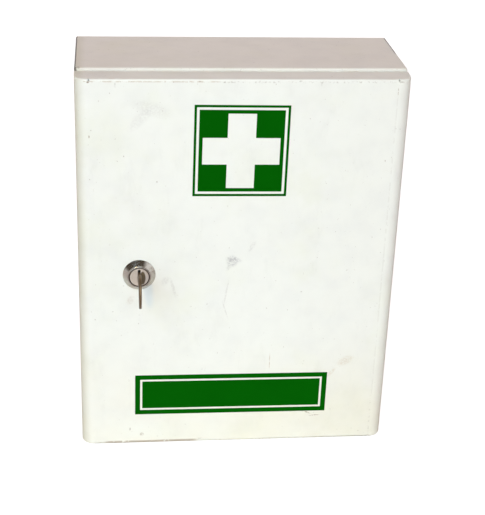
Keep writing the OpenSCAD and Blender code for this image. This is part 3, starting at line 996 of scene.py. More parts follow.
@dataclass(frozen=True)
class Metal:
    """A plated or cast metal with cloudy tarnish, fine scratches and a grain along one axis, and optional
    painted shade: a dark ring in the gap round the plug, and marks.
    """

    name: str
    tint: Colour
    tarnish: Colour
    roughness: float = 0.35
    grain: Colour = (1, 1, 1)
    tarnished: float = 0.5
    relief: float = 0.00002
    metallic: float = 1.0
    rings_about: Point2 | None = None
    ring_pitch: float = 0.42
    # Inner radius, outer radius and softness of a painted dark ring of shade in the gap round the plug.
    shaded_gap_ring: tuple[float, float, float] | None = None
    marks: tuple[Mark, ...] = ()

    def material(self) -> Material:
        """Builds the material.

        Returns:
            The material.
        """
        s = Shader(self.name)
        clouds = s.noise(160, 5, 0.65)
        stain = s.times(s.step(clouds, 0.38, 0.72), self.tarnished)
        colour = s.mix(stain, self.tint, self.tarnish)
        colour = s.clouded(colour, Cloud(900, 2, 0.6, 0.64, 0.72, self.tarnish, 0.4))
        scratch = s.noise(260, 4, 0.7, self.grain)
        if self.rings_about:
            across, up = (
                s.math("SUBTRACT", place, middle * MM)
                for place, middle in zip((s.x, s.z), self.rings_about, strict=True)
            )
            reach = s.math("SQRT", s.math("ADD", s.times(across, across), s.times(up, up)))
            wavy = s.math("SINE", s.times(reach, 2 * math.pi / (self.ring_pitch * MM)))
            scratch = s.uneven(wavy, 0.3, 0.5)
            # Painted shade: a near-black band darkens the gap between the plug's cap and the lock body's
            # seat.
            if self.shaded_gap_ring:
                ring = s.band(reach, *in_metres(*self.shaded_gap_ring))
                colour = s.mix(s.times(ring, 0.85), colour, (0.05, 0.042, 0.034))
        # Marks, such as the plug's painted shade, are laid over the metal.
        for mark in self.marks:
            colour = s.mix(s.times(s.spot(mark), mark.strength), colour, mark.colour)
        rough = s.uneven(clouds, 0.2, self.roughness - 0.1)
        relief = s.bump(scratch, self.relief)
        return s.surface_is(Base_Color=colour, Roughness=rough, Metallic=self.metallic, Normal=relief)


@dataclass(frozen=True)
class Film:
    """Green printed film: slightly uneven ink, small scuffs and a soft gloss."""

    name: str
    ink: Colour = (0.0006, 0.094, 0.0006)
    worn: Colour = (0.001, 0.115, 0.001)

    def material(self) -> Material:
        """Builds the material.

        Returns:
            The material.
        """
        s = Shader(self.name)
        colour = s.clouded(
            self.ink,
            Cloud(22, 4, 0.6, 0.35, 0.75, self.worn, 0.22),
            Cloud(420, 5, 0.75, 0.66, 0.76, (0.02, 0.16, 0.025), 0.1, stretch=(1, 1, 0.25)),
        )
        peel = s.bump(s.noise(300, 3, 0.5), 0.00002)
        rough = s.uneven(s.noise(60, 3), 0.12, 0.42)
        return s.surface_is(
            Base_Color=colour, Roughness=rough, Normal=peel, IOR=1.45, Specular_IOR_Level=0.015
        )


@dataclass(frozen=True)
class Moulded:
    """A moulded soft or hard plastic with a fine grain."""

    name: str
    tint: Colour
    shade: Colour
    roughness: float = 0.6

    def material(self) -> Material:
        """Builds the material.

        Returns:
            The material.
        """
        s = Shader(self.name)
        colour = s.clouded(self.tint, Cloud(300, 4, 0.6, 0.35, 0.7, self.shade))
        grain = s.bump(s.noise(2400, 2, 0.5), 0.00003)
        rough = s.uneven(s.noise(120, 3), 0.15, self.roughness - 0.07)
        return s.surface_is(Base_Color=colour, Roughness=rough, Normal=grain)


# Sheet metal


@dataclass
class Case:
    """The folded case with its returns, back panel, shelves and shelf supports. Sizes are in millimetres."""

    paint: Material
    rubber: Material
    width: float = 320
    height: float = 404
    front: float = -55
    rear: float = 55
    sheet: float = 1
    bend: float = 2
    bend_faces: int = 7
    front_stretch: float = 1.5
    inner_stretch: float = 2.0
    front_return: float = 12
    rear_return: float = 14
    shelf_tops: tuple[float, ...] = (134, 268)
    shelf_front: float = -43
    shelf_rear: float = 52.7
    shelf_edge: float = 16
    shelf_hem: float = 10
    shelf_back: float = 9
    shelf_bend: float = 1.5
    shelf_gap: float = 0.5
    support: tuple[float, float, float] = (12, 14, 1.2)
    support_bend: float = 1.2
    support_front: float = -27
    welds_across: int = 6
    welds_up: tuple[int, float, float] = (5, 68, 66)
    weld_radius: float = 2.6
    weld_flatness: float = 0.05
    pivot_x: float = 155
    tongue_half: float = 3.8
    tongue_heights: tuple[Point2, ...] = ((4.1, 7.2), (394.5, 397.6))
    bumper: tuple[float, float, float] = (-154, 4, 1.1)
    bumper_heights: tuple[float, ...] = (30, 374)

    def rounded_block(self, name: str, inset: float, bend: float, stretch: float) -> Piece:
        """Makes the case's block with all of its edges bent.

        Args:
            name: Name of the block.
            inset: How far each face is moved in.
            bend: Radius of the bends.
            stretch: How much longer than wide the front bends are.

        Returns:
            The block.
        """
        half = self.width / 2 - inset
        box = block((-half, half), (self.front + inset, self.rear - inset), (inset, self.height - inset))
        box.name = name
        start = (self.front + inset) * MM
        with reworked(box.data) as form:
            bevel(form, form.edges[:], bend, self.bend_faces)
            for vert in form.verts:
                ahead = start + bend * MM - vert.co.y
                if ahead > 0:
                    vert.co.y = start + bend * stretch * MM - ahead * stretch
        return box

    def shell(self) -> Piece:
        """Builds the folded shell, with its openings and the hinge windows.

        Returns:
            The piece.
        """
        shell = self.rounded_block("case_shell_folded", 0, self.bend, self.front_stretch)
        inside = self.rounded_block("cutter", self.sheet, self.bend - self.sheet, self.inner_stretch)
        half = self.width / 2
        over = 1.0
        across = (self.pivot_x - self.tongue_half, self.pivot_x + self.tongue_half)
        depth = (self.front - over, self.front + self.sheet + self.bend)
        windows = [block(across, depth, heights) for heights in self.tongue_heights]
        mouth, back = (
            block((edge - half, half - edge), depth, (edge, self.height - edge))
            for edge, depth in (
                (self.front_return, (self.front - over, 0)),
                (self.rear_return, (0, self.rear + over)),
            )
        )
        carve(shell, [inside, mouth, back, *windows])
        return soften(shell, 0.22)

    def shelf(self, name: str, top: float) -> Piece:
        """Folds a shelf: hem, front edge, tread and upturned rear edge.

        Args:
            name: Name of the piece.
            top: Height of the tread's upper face.

        Returns:
            The piece.
        """
        t = self.sheet / 2
        low = top - self.shelf_edge
        section = folded_strip(
            [
                (self.shelf_front + self.shelf_hem, low + t),
                (self.shelf_front + t, low + t),
                (self.shelf_front + t, top - t),
                (self.shelf_rear - t, top - t),
                (self.shelf_rear - t, top + self.shelf_back),
            ],
            self.shelf_bend,
            self.sheet,
        )
        half = self.width / 2 - self.sheet - self.shelf_gap
        return soften(prism(name, Along.X, section, -half, half), 0.2)

    def supports(self) -> Piece:
        """Folds the four shelf supports as one piece.

        Returns:
            The piece.
        """
        ledge, leg, t = self.support
        wall = self.width / 2 - self.sheet
        parts = []
        for side in (-1, 1):
            for top in self.shelf_tops:
                under = top - self.sheet
                section = folded_strip(
                    [
                        (side * (wall - t / 2), under - leg),
                        (side * (wall - t / 2), under - t / 2),
                        (side * (wall - ledge), under - t / 2),
                    ],
                    self.support_bend,
                    t,
                )
                name = "shelf_supports_folded"
                parts.append(prism(name, Along.Y, section, self.support_front, self.shelf_rear))
        return soften(joined(parts), 0.2)

    def back(self, welds: GrowthTree) -> Piece:
        """Builds the back panel with its wall screw holes and the spots where it is welded to the return.

        Args:
            welds: The tree for a row of weld spots.

        Returns:
            The piece.
        """
        panel = refined_node("back_panel", 0.2)
        panel.name = "back_panel_welded"
        half = self.width / 2 - self.rear_return / 2
        face = self.rear - 2 * self.sheet
        between = 2 * half / (self.welds_across - 1)
        count, first, pitch = self.welds_up
        rows = [
            (self.welds_across, (-half, face, height), (between, 0, 0))
            for height in (self.rear_return / 2, self.height - self.rear_return / 2)
        ]
        rows += [(count, (side, face, first), (0, 0, pitch)) for side in (-half, half)]
        for count, start, step in rows:
            welds.grow(
                panel,
                Count=count,
                Start=in_metres(*start),
                Step=in_metres(*step),
                Radius=self.weld_radius * MM,
                Flatness=self.weld_flatness,
                Turn=[math.pi / 2, 0, 0],
            )
        return panel

    def bumpers(self) -> Piece:
        """Builds the soft discs that the door's lip closes against.

        Returns:
            The piece.
        """
        x, radius, height = self.bumper
        profile = [(0.001, 0), (radius, 0), (radius, height - 0.35), (radius - 0.12, height - 0.1)]
        profile += [(radius - 0.4, height), (0.001, height)]
        parts = [
            turned("door_bumpers_soft", Vector((x, self.front, z)), profile, 40) for z in self.bumper_heights
        ]
        return soften(joined(parts), 0)

    def build(self) -> None:
        """Builds and dresses every piece of the case."""
        welds = weld_row_tree(self.paint)
        finish_piece(self.shell(), Body.CABINET, self.paint, ["case_shell"])
        finish_piece(self.back(welds), Body.CABINET, self.paint, ["back_panel"])
        for name, top in zip(("lower_shelf", "upper_shelf"), self.shelf_tops, strict=True):
            finish_piece(self.shelf(name + "_folded", top), Body.CABINET, self.paint, [name])
        finish_piece(self.supports(), Body.CABINET, self.paint, ["shelf_supports"])
        finish_piece(self.bumpers(), Body.CABINET, self.rubber, ["door_bumpers"])


@dataclass
class DoorPan:
    """The door's folded pan. Sizes are in millimetres."""

    paint: Material
    width: float = 320
    low: float = 0.5
    high: float = 401.2
    front: float = -81.8
    rear: float = -56.4
    sheet: float = 1
    side_radius: float = 12.5
    side_faces: int = 16
    fold_radius: float = 2
    fold_faces: int = 6
    lip: float = 9
    notch: float = 1.2
    pivot_x: float = 155
    tongue_half: float = 3.5
    slot_front: float = -74.2
    slot_heights: tuple[Point2, ...] = ((3.8, 7.5), (394.2, 397.9))
    lock_at: Point2 = (-100.0, 199.6)
    barrel_radius: float = 9.6
    barrel_half_flat: float = 8.1
    hole_sides: int = 72

    def block_with_folds(self, name: str, inset: float) -> Piece:
        """Makes the pan's block: large upright edges, then small folds round its top and bottom.

        Args:
            name: Name of the block.
            inset: How far each face is moved in.

        Returns:
            The block.
        """
        half = self.width / 2 - inset
        low, high = self.low + inset, self.high - inset
        box = block((-half, half), (self.front + inset, self.rear - inset), (low, high))
        box.name = name
        side = max(self.side_radius - inset, 0.3)
        fold = max(self.fold_radius - inset, 0.3)
        near = 0.1
        bottom, top = (low + near) * MM, (high - near) * MM
        limit = (self.front + inset + side + 0.01) * MM
        with reworked(box.data) as form:
            upright = [
                e
                for e in form.edges
                if abs(e.verts[0].co.z - e.verts[1].co.z) > near
                and e.verts[0].co.y < (self.front + inset + 1) * MM
            ]
            bevel(form, upright, side, self.side_faces)
            around = [
                e
                for e in form.edges
                if all(v.co.y < limit for v in e.verts)
                and (all(v.co.z < bottom for v in e.verts) or all(v.co.z > top for v in e.verts))
                and e.calc_face_angle(0.0) > 1.0
            ]
            bevel(form, around, fold, self.fold_faces)
        return box

    def cutters(self) -> list[Piece]:
        """Makes what is cut out of the closed pan.

        Returns:
            The rear opening, bare corners, tongue slots, fold notches and the lock's hole.
        """
        half = self.width / 2
        inner = half - self.sheet
        over = 1.0
        depth = (self.rear - 2 * self.sheet, self.rear + over)
        bare = self.pivot_x - self.tongue_half - self.lip / 2
        made = [
            block((-half + self.lip, inner), depth, (self.low + self.lip, self.high - self.lip)),
            block((bare, inner), depth, (self.low + self.sheet, self.high - self.sheet)),
        ]
        made += [
            block((self.pivot_x, half + over), (self.slot_front, self.rear + over), heights)
            for heights in self.slot_heights
        ]
        at = half - self.side_radius - self.notch
        fold = (self.front - over, self.front + self.fold_radius)
        bottom = (self.low - over, self.low + self.fold_radius)
        top = (self.high - self.fold_radius, self.high + over)
        for middle in (-at, at):
            across = (middle - self.notch / 2, middle + self.notch / 2)
            made += [block(across, fold, height) for height in (bottom, top)]
        hole = []
        for i in range(self.hole_sides):
            across, up = round_place(2 * math.pi * i / self.hole_sides, self.barrel_radius)
            across = max(-self.barrel_half_flat, min(self.barrel_half_flat, across))
            hole.append((self.lock_at[0] + across, self.lock_at[1] + up))
        made.append(prism("cutter", Along.Y, hole, self.front - over, self.front + self.sheet + over))
        return made

    def build(self) -> None:
        """Builds and dresses the pan."""
        pan = self.block_with_folds("door_pan_folded", 0)
        carve(pan, [self.block_with_folds("cutter", self.sheet), *self.cutters()])
        soften(pan, 0.2)
        finish_piece(pan, Body.DOOR, self.paint, ["door_panel"])


@dataclass
class HingeSet:
    """The hidden pivots: brackets, bosses, washers and shoulder screws. Sizes are in millimetres."""

    zinc: Material
    nylon: Material
    axis_at: Point2 = (155, -68.4)
    thread_radius: float = 1.45
    thread_length: float = 1.1
    thread_turns: float = 2.5
    thread_depth: float = 0.18
    thread_starts: tuple[float, ...] = (398.3, 2.3)

    def build(self) -> None:
        """Builds and dresses every piece of the two hinges."""
        for name in ("hinge_bracket_upper", "hinge_bracket_lower"):
            finish_piece(refined_node(name, 0.25, 3), Body.CABINET, self.zinc, [name])
        finish_piece(refined_node("pivot_bosses", 0.15), Body.DOOR, self.zinc, ["pivot_bosses"])
        finish_piece(refined_node("pivot_washers", 0.1), Body.DOOR, self.nylon, ["pivot_washers"])
        screws = refined_node("pivot_screws", 0.15, 3)
        thread = thread_tree(self.zinc)
        for start in self.thread_starts:
            thread.grow(
                screws,
                Turns=self.thread_turns,
                Radius=self.thread_radius * MM,
                Length=self.thread_length * MM,
                Depth=self.thread_depth * MM,
                Centre=in_metres(*self.axis_at, start),
            )
        finish_piece(screws, Body.DOOR, self.zinc, ["pivot_screws"])


# Lock, key and labels


@dataclass
class CamLock:
    """The cam lock: escutcheon, body, nut, washer, plug, wafers and cam. Heights are out of the door."""

    nickel: Material
    plug_metal: Material
    zinc: Material
    brass: Material
    axis_at: Vector = field(default_factory=lambda: Vector((-100.0, -81.8, 199.6)))
    rose: tuple[float, float, float] = (16.25, 11.8, 5.5)
    web: float = 2.0
    head_radius: float = 11.05
    proud: float = 6.2
    barrel_radius: float = 9.5
    half_flat: float = 8.0
    barrel_length: float = 24.0
    plug_radius: float = 7.0
    cap_radius: float = 9.3
    cap_low: float = 3.6
    thread_pitch: float = 1.0
    thread_depth: float = 0.55
    thread_flank: float = 1.2
    thread_ends: Point2 = (-23.4, -1.5)
    washer_radius: float = 12.2
    washer_heights: Point2 = (-1.75, -1.05)
    teeth: int = 12
    tooth_radius: float = 12.1
    tooth: tuple[float, float, float] = (1.5, 2.6, 0.6)
    tooth_twist: float = 0.12
    wafers: int = 5
    wafer_step: float = 3.0

    def escutcheon(self) -> Piece:
        """Turns the conical escutcheon from its profile.

        Returns:
            The piece.
        """
        base, top, height = self.rose
        inner = self.barrel_radius + 0.1
        seat = self.head_radius + 0.1
        outline = [(inner, 0), (base, 0), (base, 0.6), (top + 0.15, height - 0.25), (top, height)]
        outline += [(seat, height), (seat, self.web), (inner, self.web)]
        profile = round_corners(outline, [0, 0.15, 0.35, 0.25, 0.15, 0.12, 0.1, 0], 5)
        reach = 20.0
        form = bmesh.new()
        verts = [form.verts.new(in_metres(r - reach, z, 0)) for r, z in profile]
        for i, vert in enumerate(verts):
            form.edges.new((vert, verts[(i + 1) % len(verts)]))
        piece = mesh_piece("lock_escutcheon_turned", form)
        turned_ring_tree(self.nickel).grow(
            piece, Sides=144, Reach=reach * MM, Centre=in_metres(*self.axis_at), Turn=[-math.pi / 2, 0, 0]
        )
        with reworked(piece.data) as form:
            bmesh.ops.remove_doubles(form, verts=form.verts, dist=SAME_POINT)
            bmesh.ops.recalc_face_normals(form, faces=form.faces)
        return soften(piece, 0)

    def threaded(self, angle: float, radius: float, height: float) -> Point2:
        """Gives the barrel its thread and its two flats.

        Args:
            angle: Angle round the axis.
            radius: Radius of the plain profile.
            height: Height out of the door.

        Returns:
            Place across and up from the axis.
        """
        low, high = self.thread_ends
        if abs(radius - self.barrel_radius) < 0.01 and low < height < high:
            turn = (height / self.thread_pitch + angle / (2 * math.pi)) % 1.0
            radius -= self.thread_depth * abs(2 * turn - 1) ** self.thread_flank
        across, up = round_place(angle, radius)
        if radius > self.half_flat and height < self.web + 0.01 and abs(radius - self.head_radius) > 0.5:
            across = max(-self.half_flat, min(self.half_flat, across))
        return across, up

    def body(self) -> Piece:
        """Turns the body: bore, threaded barrel, head and the seat of the plug's cap.

        Returns:
            The piece.
        """
        bore = self.plug_radius + 0.05
        cap = self.cap_radius + 0.05
        barrel = self.barrel_radius
        head = self.head_radius
        length = self.barrel_length
        profile = [(bore, -length), (barrel - 0.5, -length), (barrel, -length + 0.5)]
        low, high = self.thread_ends
        steps = int((length + high) / (self.thread_pitch / 8))
        profile += [(barrel, low + (high - low) * i / steps) for i in range(steps + 1)]
        profile += [(barrel, high + 0.1), (barrel, self.web - 0.02)]
        profile += [(head - 0.1, self.web - 0.02), (head, self.web + 0.08)]
        profile += [(head, self.proud - 0.35), (head - 0.08, self.proud - 0.12), (head - 0.3, self.proud)]
        profile += [(cap + 0.95, self.proud), (cap + 0.8, self.proud - 0.12), (cap, self.proud - 1)]
        profile += [(cap, self.cap_low - 0.1), (bore, self.cap_low - 0.1)]
        piece = turned("lock_body_threaded", self.axis_at, profile, 120, self.threaded)
        return soften(piece, 0)

    def toothed_washer(self) -> Piece:
        """Builds the washer between the door and the nut, with its twisted teeth.

        Returns:
            The piece.
        """
        inner, outer = self.barrel_radius + 0.1, self.washer_radius
        low, high = self.washer_heights
        section = [(inner, low), (outer, low), (outer, high), (inner, high)]
        ring = turned("lock_washer_toothed", self.axis_at, section)
        x, y, z = self.axis_at
        tooth_ring_tree(self.zinc).grow(
            ring,
            Count=self.teeth,
            Radius=self.tooth_radius * MM,
            Tooth=in_metres(*self.tooth),
            Twist=self.tooth_twist,
            Centre=in_metres(x, y - (low + high) / 2, z),
            Turn=[math.pi / 2, 0, 0],
        )
        return soften(ring, 0.05)

    def plug(self) -> Piece:
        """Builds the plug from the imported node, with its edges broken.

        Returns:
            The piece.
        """
        piece = refined_node("lock_plug", 0.18, 3)
        piece.name = "lock_plug_turned"
        return piece

    def wafer_stack(self) -> Piece:
        """Builds the wafers by repeating the first one along the plug.

        Returns:
            The piece.
        """
        source = refined_node("lock_wafers", 0.1)
        source.name = "lock_wafers_stacked"
        with reworked(source.data) as form:
            front = min(vert.co.y for vert in form.verts) + self.wafer_step / 2 * MM
            bmesh.ops.delete(form, geom=[v for v in form.verts if v.co.y > front], context="VERTS")
        stack_tree(self.brass).grow(source, Count=self.wafers, Step=[0, self.wafer_step * MM, 0])
        return source

    def build(self) -> None:
        """Builds and dresses every piece of the lock."""
        for piece, slot, metal, node in (
            (self.escutcheon(), Slot.NICKEL, self.nickel, "lock_escutcheon"),
            (self.body(), Slot.NICKEL, self.nickel, "lock_body"),
            (self.toothed_washer(), Slot.ZINC, self.zinc, "lock_washer"),
            (refined_node("lock_nut", 0.3, 3), Slot.ZINC, self.zinc, "lock_nut"),
        ):
            finish_piece(piece, Body.DOOR, metal, [node])
        finish_piece(self.plug(), Body.PLUG, self.plug_metal, ["lock_plug"])
        finish_piece(self.wafer_stack(), Body.PLUG, self.brass, ["lock_wafers"])
        for name, width in (("lock_cam", 0.3), ("cam_washer", 0.15), ("cam_screw", 0.2)):
            finish_piece(refined_node(name, width, 3), Body.PLUG, self.zinc, [name])


@dataclass
class Key:
    """The flat key: blade with its cuts, neck and a bow with sunk fields. Sizes are in millimetres."""

    brass: Material
    axis_at: Vector = field(default_factory=lambda: Vector((-100.0, -81.8, 199.6)))
    thickness: float = 2.4
    blade: float = 8.0
    neck: float = 11.0
    tip: float = -18.2
    shoulder: float = 6.9
    bow_at: float = 38.0
    bow_high: float = 34.0
    bow_long: float = 29.0
    hole_radius: float = 3.5
    first_cut: float = -0.975
    cut_step: float = 3.0
    cut_flat: float = 0.5
    cuts: tuple[float, ...] = (0.7, 1.6, 1.15, 0.7, 1.6)
    tip_half: float = 0.8
    tip_long: float = 2.6
    groove: tuple[float, float, float] = (-1.8, -0.6, 0.6)
    rim: float = 2.6
    sunk: float = 0.3
    rim_bevel: float = 0.8
    rim_from: float = 26.0

    def bow_outline(self, shrink: float) -> list[Point2]:
        """Draws the bow: two large arcs whose points are cut off.

        Args:
            shrink: How far the outline is moved in.

        Returns:
            The outline, as (distance out of the door, height).
        """
        top = self.bow_high / 2 + 1.0
        arc = (top * top + (self.bow_long / 2) ** 2) / self.bow_long
        half = self.bow_high / 2 - shrink
        outline = []
        for side in (1, -1):
            for i in range(33):
                height = side * (-half + 2 * half * i / 32)
                reach = math.sqrt(max((arc - shrink) ** 2 - height * height, 0)) - (arc - self.bow_long / 2)
                outline.append((self.bow_at + side * reach, height))
        return outline

    def upright(self, outline: Sequence[Point2], across: Point2, name: str) -> Piece:
        """Pushes an outline of the key across its thickness.

        Args:
            outline: Outline as (distance out of the door, height).
            across: Start and end across the key.
            name: Name of the piece.

        Returns:
            The piece in place.
        """
        x, y, z = self.axis_at
        placed = [(y - out, z + up) for out, up in outline]
        return prism(name, Along.X, placed, x + across[0], x + across[1])

    def profile(self) -> list[Point2]:
        """Draws the whole key: tip, blade with its cuts, neck and bow.

        Returns:
            The outline, as (distance out of the door, height).
        """
        half = self.blade / 2
        start = self.tip + self.tip_long
        low = [(self.tip, self.tip_half), (self.tip, -self.tip_half), (start, -half), (self.shoulder, -half)]
        low.append((self.shoulder, -self.neck / 2))
        bow = [p for p in self.bow_outline(0) if p[0] > self.bow_at or abs(p[1]) > self.neck / 2 + 0.05]
        right = [p for p in bow if p[0] > self.bow_at]
        left = sorted((p for p in bow if p[0] <= self.bow_at), key=lambda p: -p[1])
        left_low, left_high = [p for p in left if p[1] < 0], [p for p in left if p[1] > 0]
        upper = [(self.shoulder, self.neck / 2), (self.shoulder, half)]
        flat = self.cut_flat
        for i, depth in enumerate(self.cuts):
            at = self.first_cut - i * self.cut_step
            gap = upper[-1][0] - (at + flat + depth)
            if i and gap < 0:
                upper[-1] = (at + flat + depth + gap / 2, half + gap / 2)
            else:
                upper.append((at + flat + depth, half))
            upper += [(at + flat, half - depth), (at - flat, half - depth), (at - flat - depth, half)]
        return low + left_low + right + left_high + upper + [(start, half)]

    def build(self) -> None:
        """Builds and dresses the key."""
        half = self.thickness / 2
        key = self.upright(self.profile(), (-half, half), "key_cut")
        over = 1.0
        hole_at = self.bow_at + self.bow_long / 2 - self.hole_radius * 2
        ring = [round_place(2 * math.pi * i / 48, self.hole_radius) for i in range(48)]
        hole = [(hole_at + out, up) for out, up in ring]
        inner = [p for p in self.bow_outline(self.rim) if p[0] < hole_at - self.hole_radius - 1.5]
        bottom, top, depth = self.groove
        ends = self.tip - over, self.shoulder
        groove = [(ends[0], bottom), (ends[1], bottom), (ends[1], top), (ends[0], top)]
        cutters = (
            (hole, -half - over, half + over),
            (inner, half - self.sunk, half + over),
            (inner, -half - over, -half + self.sunk),
            (groove, -half - over, -half + depth),
        )
        carve(key, [self.upright(outline, (low, high), "cutter") for outline, low, high in cutters])
        x, y, z = self.axis_at
        bow_middle = Vector((y - self.bow_at, z)) * MM
        least = (self.bow_long / 2 - 0.05) * MM

        def on_rim(middle: Vector) -> bool:
            """Says whether an edge lies on the bow's outer rim."""
            return middle.y < (y - self.rim_from) * MM and (middle.yz - bow_middle).length > least

        soften(key, self.rim_bevel, 4, 35, on_rim, held_back=False)
        soften(key, 0.15, 2, 60, lambda middle: not on_rim(middle))
        finish_piece(key, Body.KEY, self.brass, ["key"])


@dataclass
class Labels:
    """The two film labels on the door's front. Sizes are in millimetres."""

    film: Material
    front: float = -81.8
    film_depth: float = 0.15
    film_edge: float = 0.03
    film_corner: float = 0.35
    cross_at: Point2 = (-2.2, 329.6)
    cross_size: Point2 = (91.8, 92.9)
    cross_tilt: float = 0.45
    cross_line: float = 2.4
    cross_bare: float = 2.5
    arm: float = 27.2
    arm_end: float = 3.6
    sign_at: Point2 = (-3.9, 59.4)
    sign_size: Point2 = (201, 47.1)
    sign_tilt: float = 0.3
    sign_band: float = 5.2
    sign_bare: float = 2.2

    @staticmethod
    def oblong(size: Point2, inset: float) -> list[Point2]:
        """Gives the corners of an oblong that is moved in from a size."""
        w, h = size[0] / 2 - inset, size[1] / 2 - inset
        return [(-w, -h), (w, -h), (w, h), (-w, h)]

    def film_piece(
        self, name: str, at: Point2, tilt: float, loops: Sequence[Sequence[Point2]]
    ) -> Piece:
        """Cuts film along closed loops, each of which turns film into bare door or back.

        Args:
            name: Name of the piece.
            at: Middle of the label on the door.
            tilt: Its clockwise turn in degrees.
            loops: The loops about that middle.

        Returns:
            The piece.
        """
        edge = self.film_edge
        curve = bpy.data.curves.new(name, "CURVE")
        curve.dimensions = "2D"
        curve.fill_mode = "BOTH"
        curve.extrude = (self.film_depth / 2 - edge) * MM
        curve.bevel_depth = edge * MM
        curve.bevel_resolution = 1
        curve.offset = -edge * MM
        for loop in loops:
            rounded = round_corners(loop, [self.film_corner] * len(loop), 4)
            spline = curve.splines.new("POLY")
            spline.points.add(len(rounded) - 1)
            for point, (x, z) in zip(spline.points, rounded, strict=True):
                point.co = (x * MM, z * MM, 0, 1)
            spline.use_cyclic_u = True
        maker = in_scene(name + "_outline", curve)
        graph = bpy.context.evaluated_depsgraph_get()
        mesh = bpy.data.meshes.new_from_object(maker.evaluated_get(graph))
        bpy.data.objects.remove(maker)
        stand = Matrix.Translation(Vector((at[0], self.front - self.film_depth / 2, at[1])) * MM)
        upright = Matrix.Rotation(math.pi / 2, 4, "X") @ Matrix.Rotation(math.radians(-tilt), 4, "Z")
        mesh.transform(stand @ upright)
        form = bmesh.new()
        form.from_mesh(mesh)
        bpy.data.meshes.remove(mesh)
        bmesh.ops.remove_doubles(form, verts=form.verts, dist=SAME_POINT)
        return mesh_piece(name, form)

    def build(self) -> None:
        """Cuts and dresses the two labels."""
        step = self.cross_line + self.cross_bare
        w, h = (size / 2 - step - self.arm_end for size in self.cross_size)
        a = self.arm / 2
        upper = [(w, -a), (w, a), (a, a), (a, h), (-a, h), (-a, a)]
        cross = [(-a, -h), (a, -h), (a, -a), *upper, (-w, a), (-w, -a), (-a, -a)]
        loops = [self.oblong(self.cross_size, inset) for inset in (0, self.cross_line, step)] + [cross]
        label = self.film_piece("cross_label_film", self.cross_at, self.cross_tilt, loops)
        finish_piece(label, Body.DOOR, self.film, ["cross_label"])
        step = self.sign_band + self.sign_bare
        loops = [self.oblong(self.sign_size, inset) for inset in (0, self.sign_band, step)]
        label = self.film_piece("sign_label_film", self.sign_at, self.sign_tilt, loops)
        finish_piece(label, Body.DOOR, self.film, ["sign_label"])


# Studio


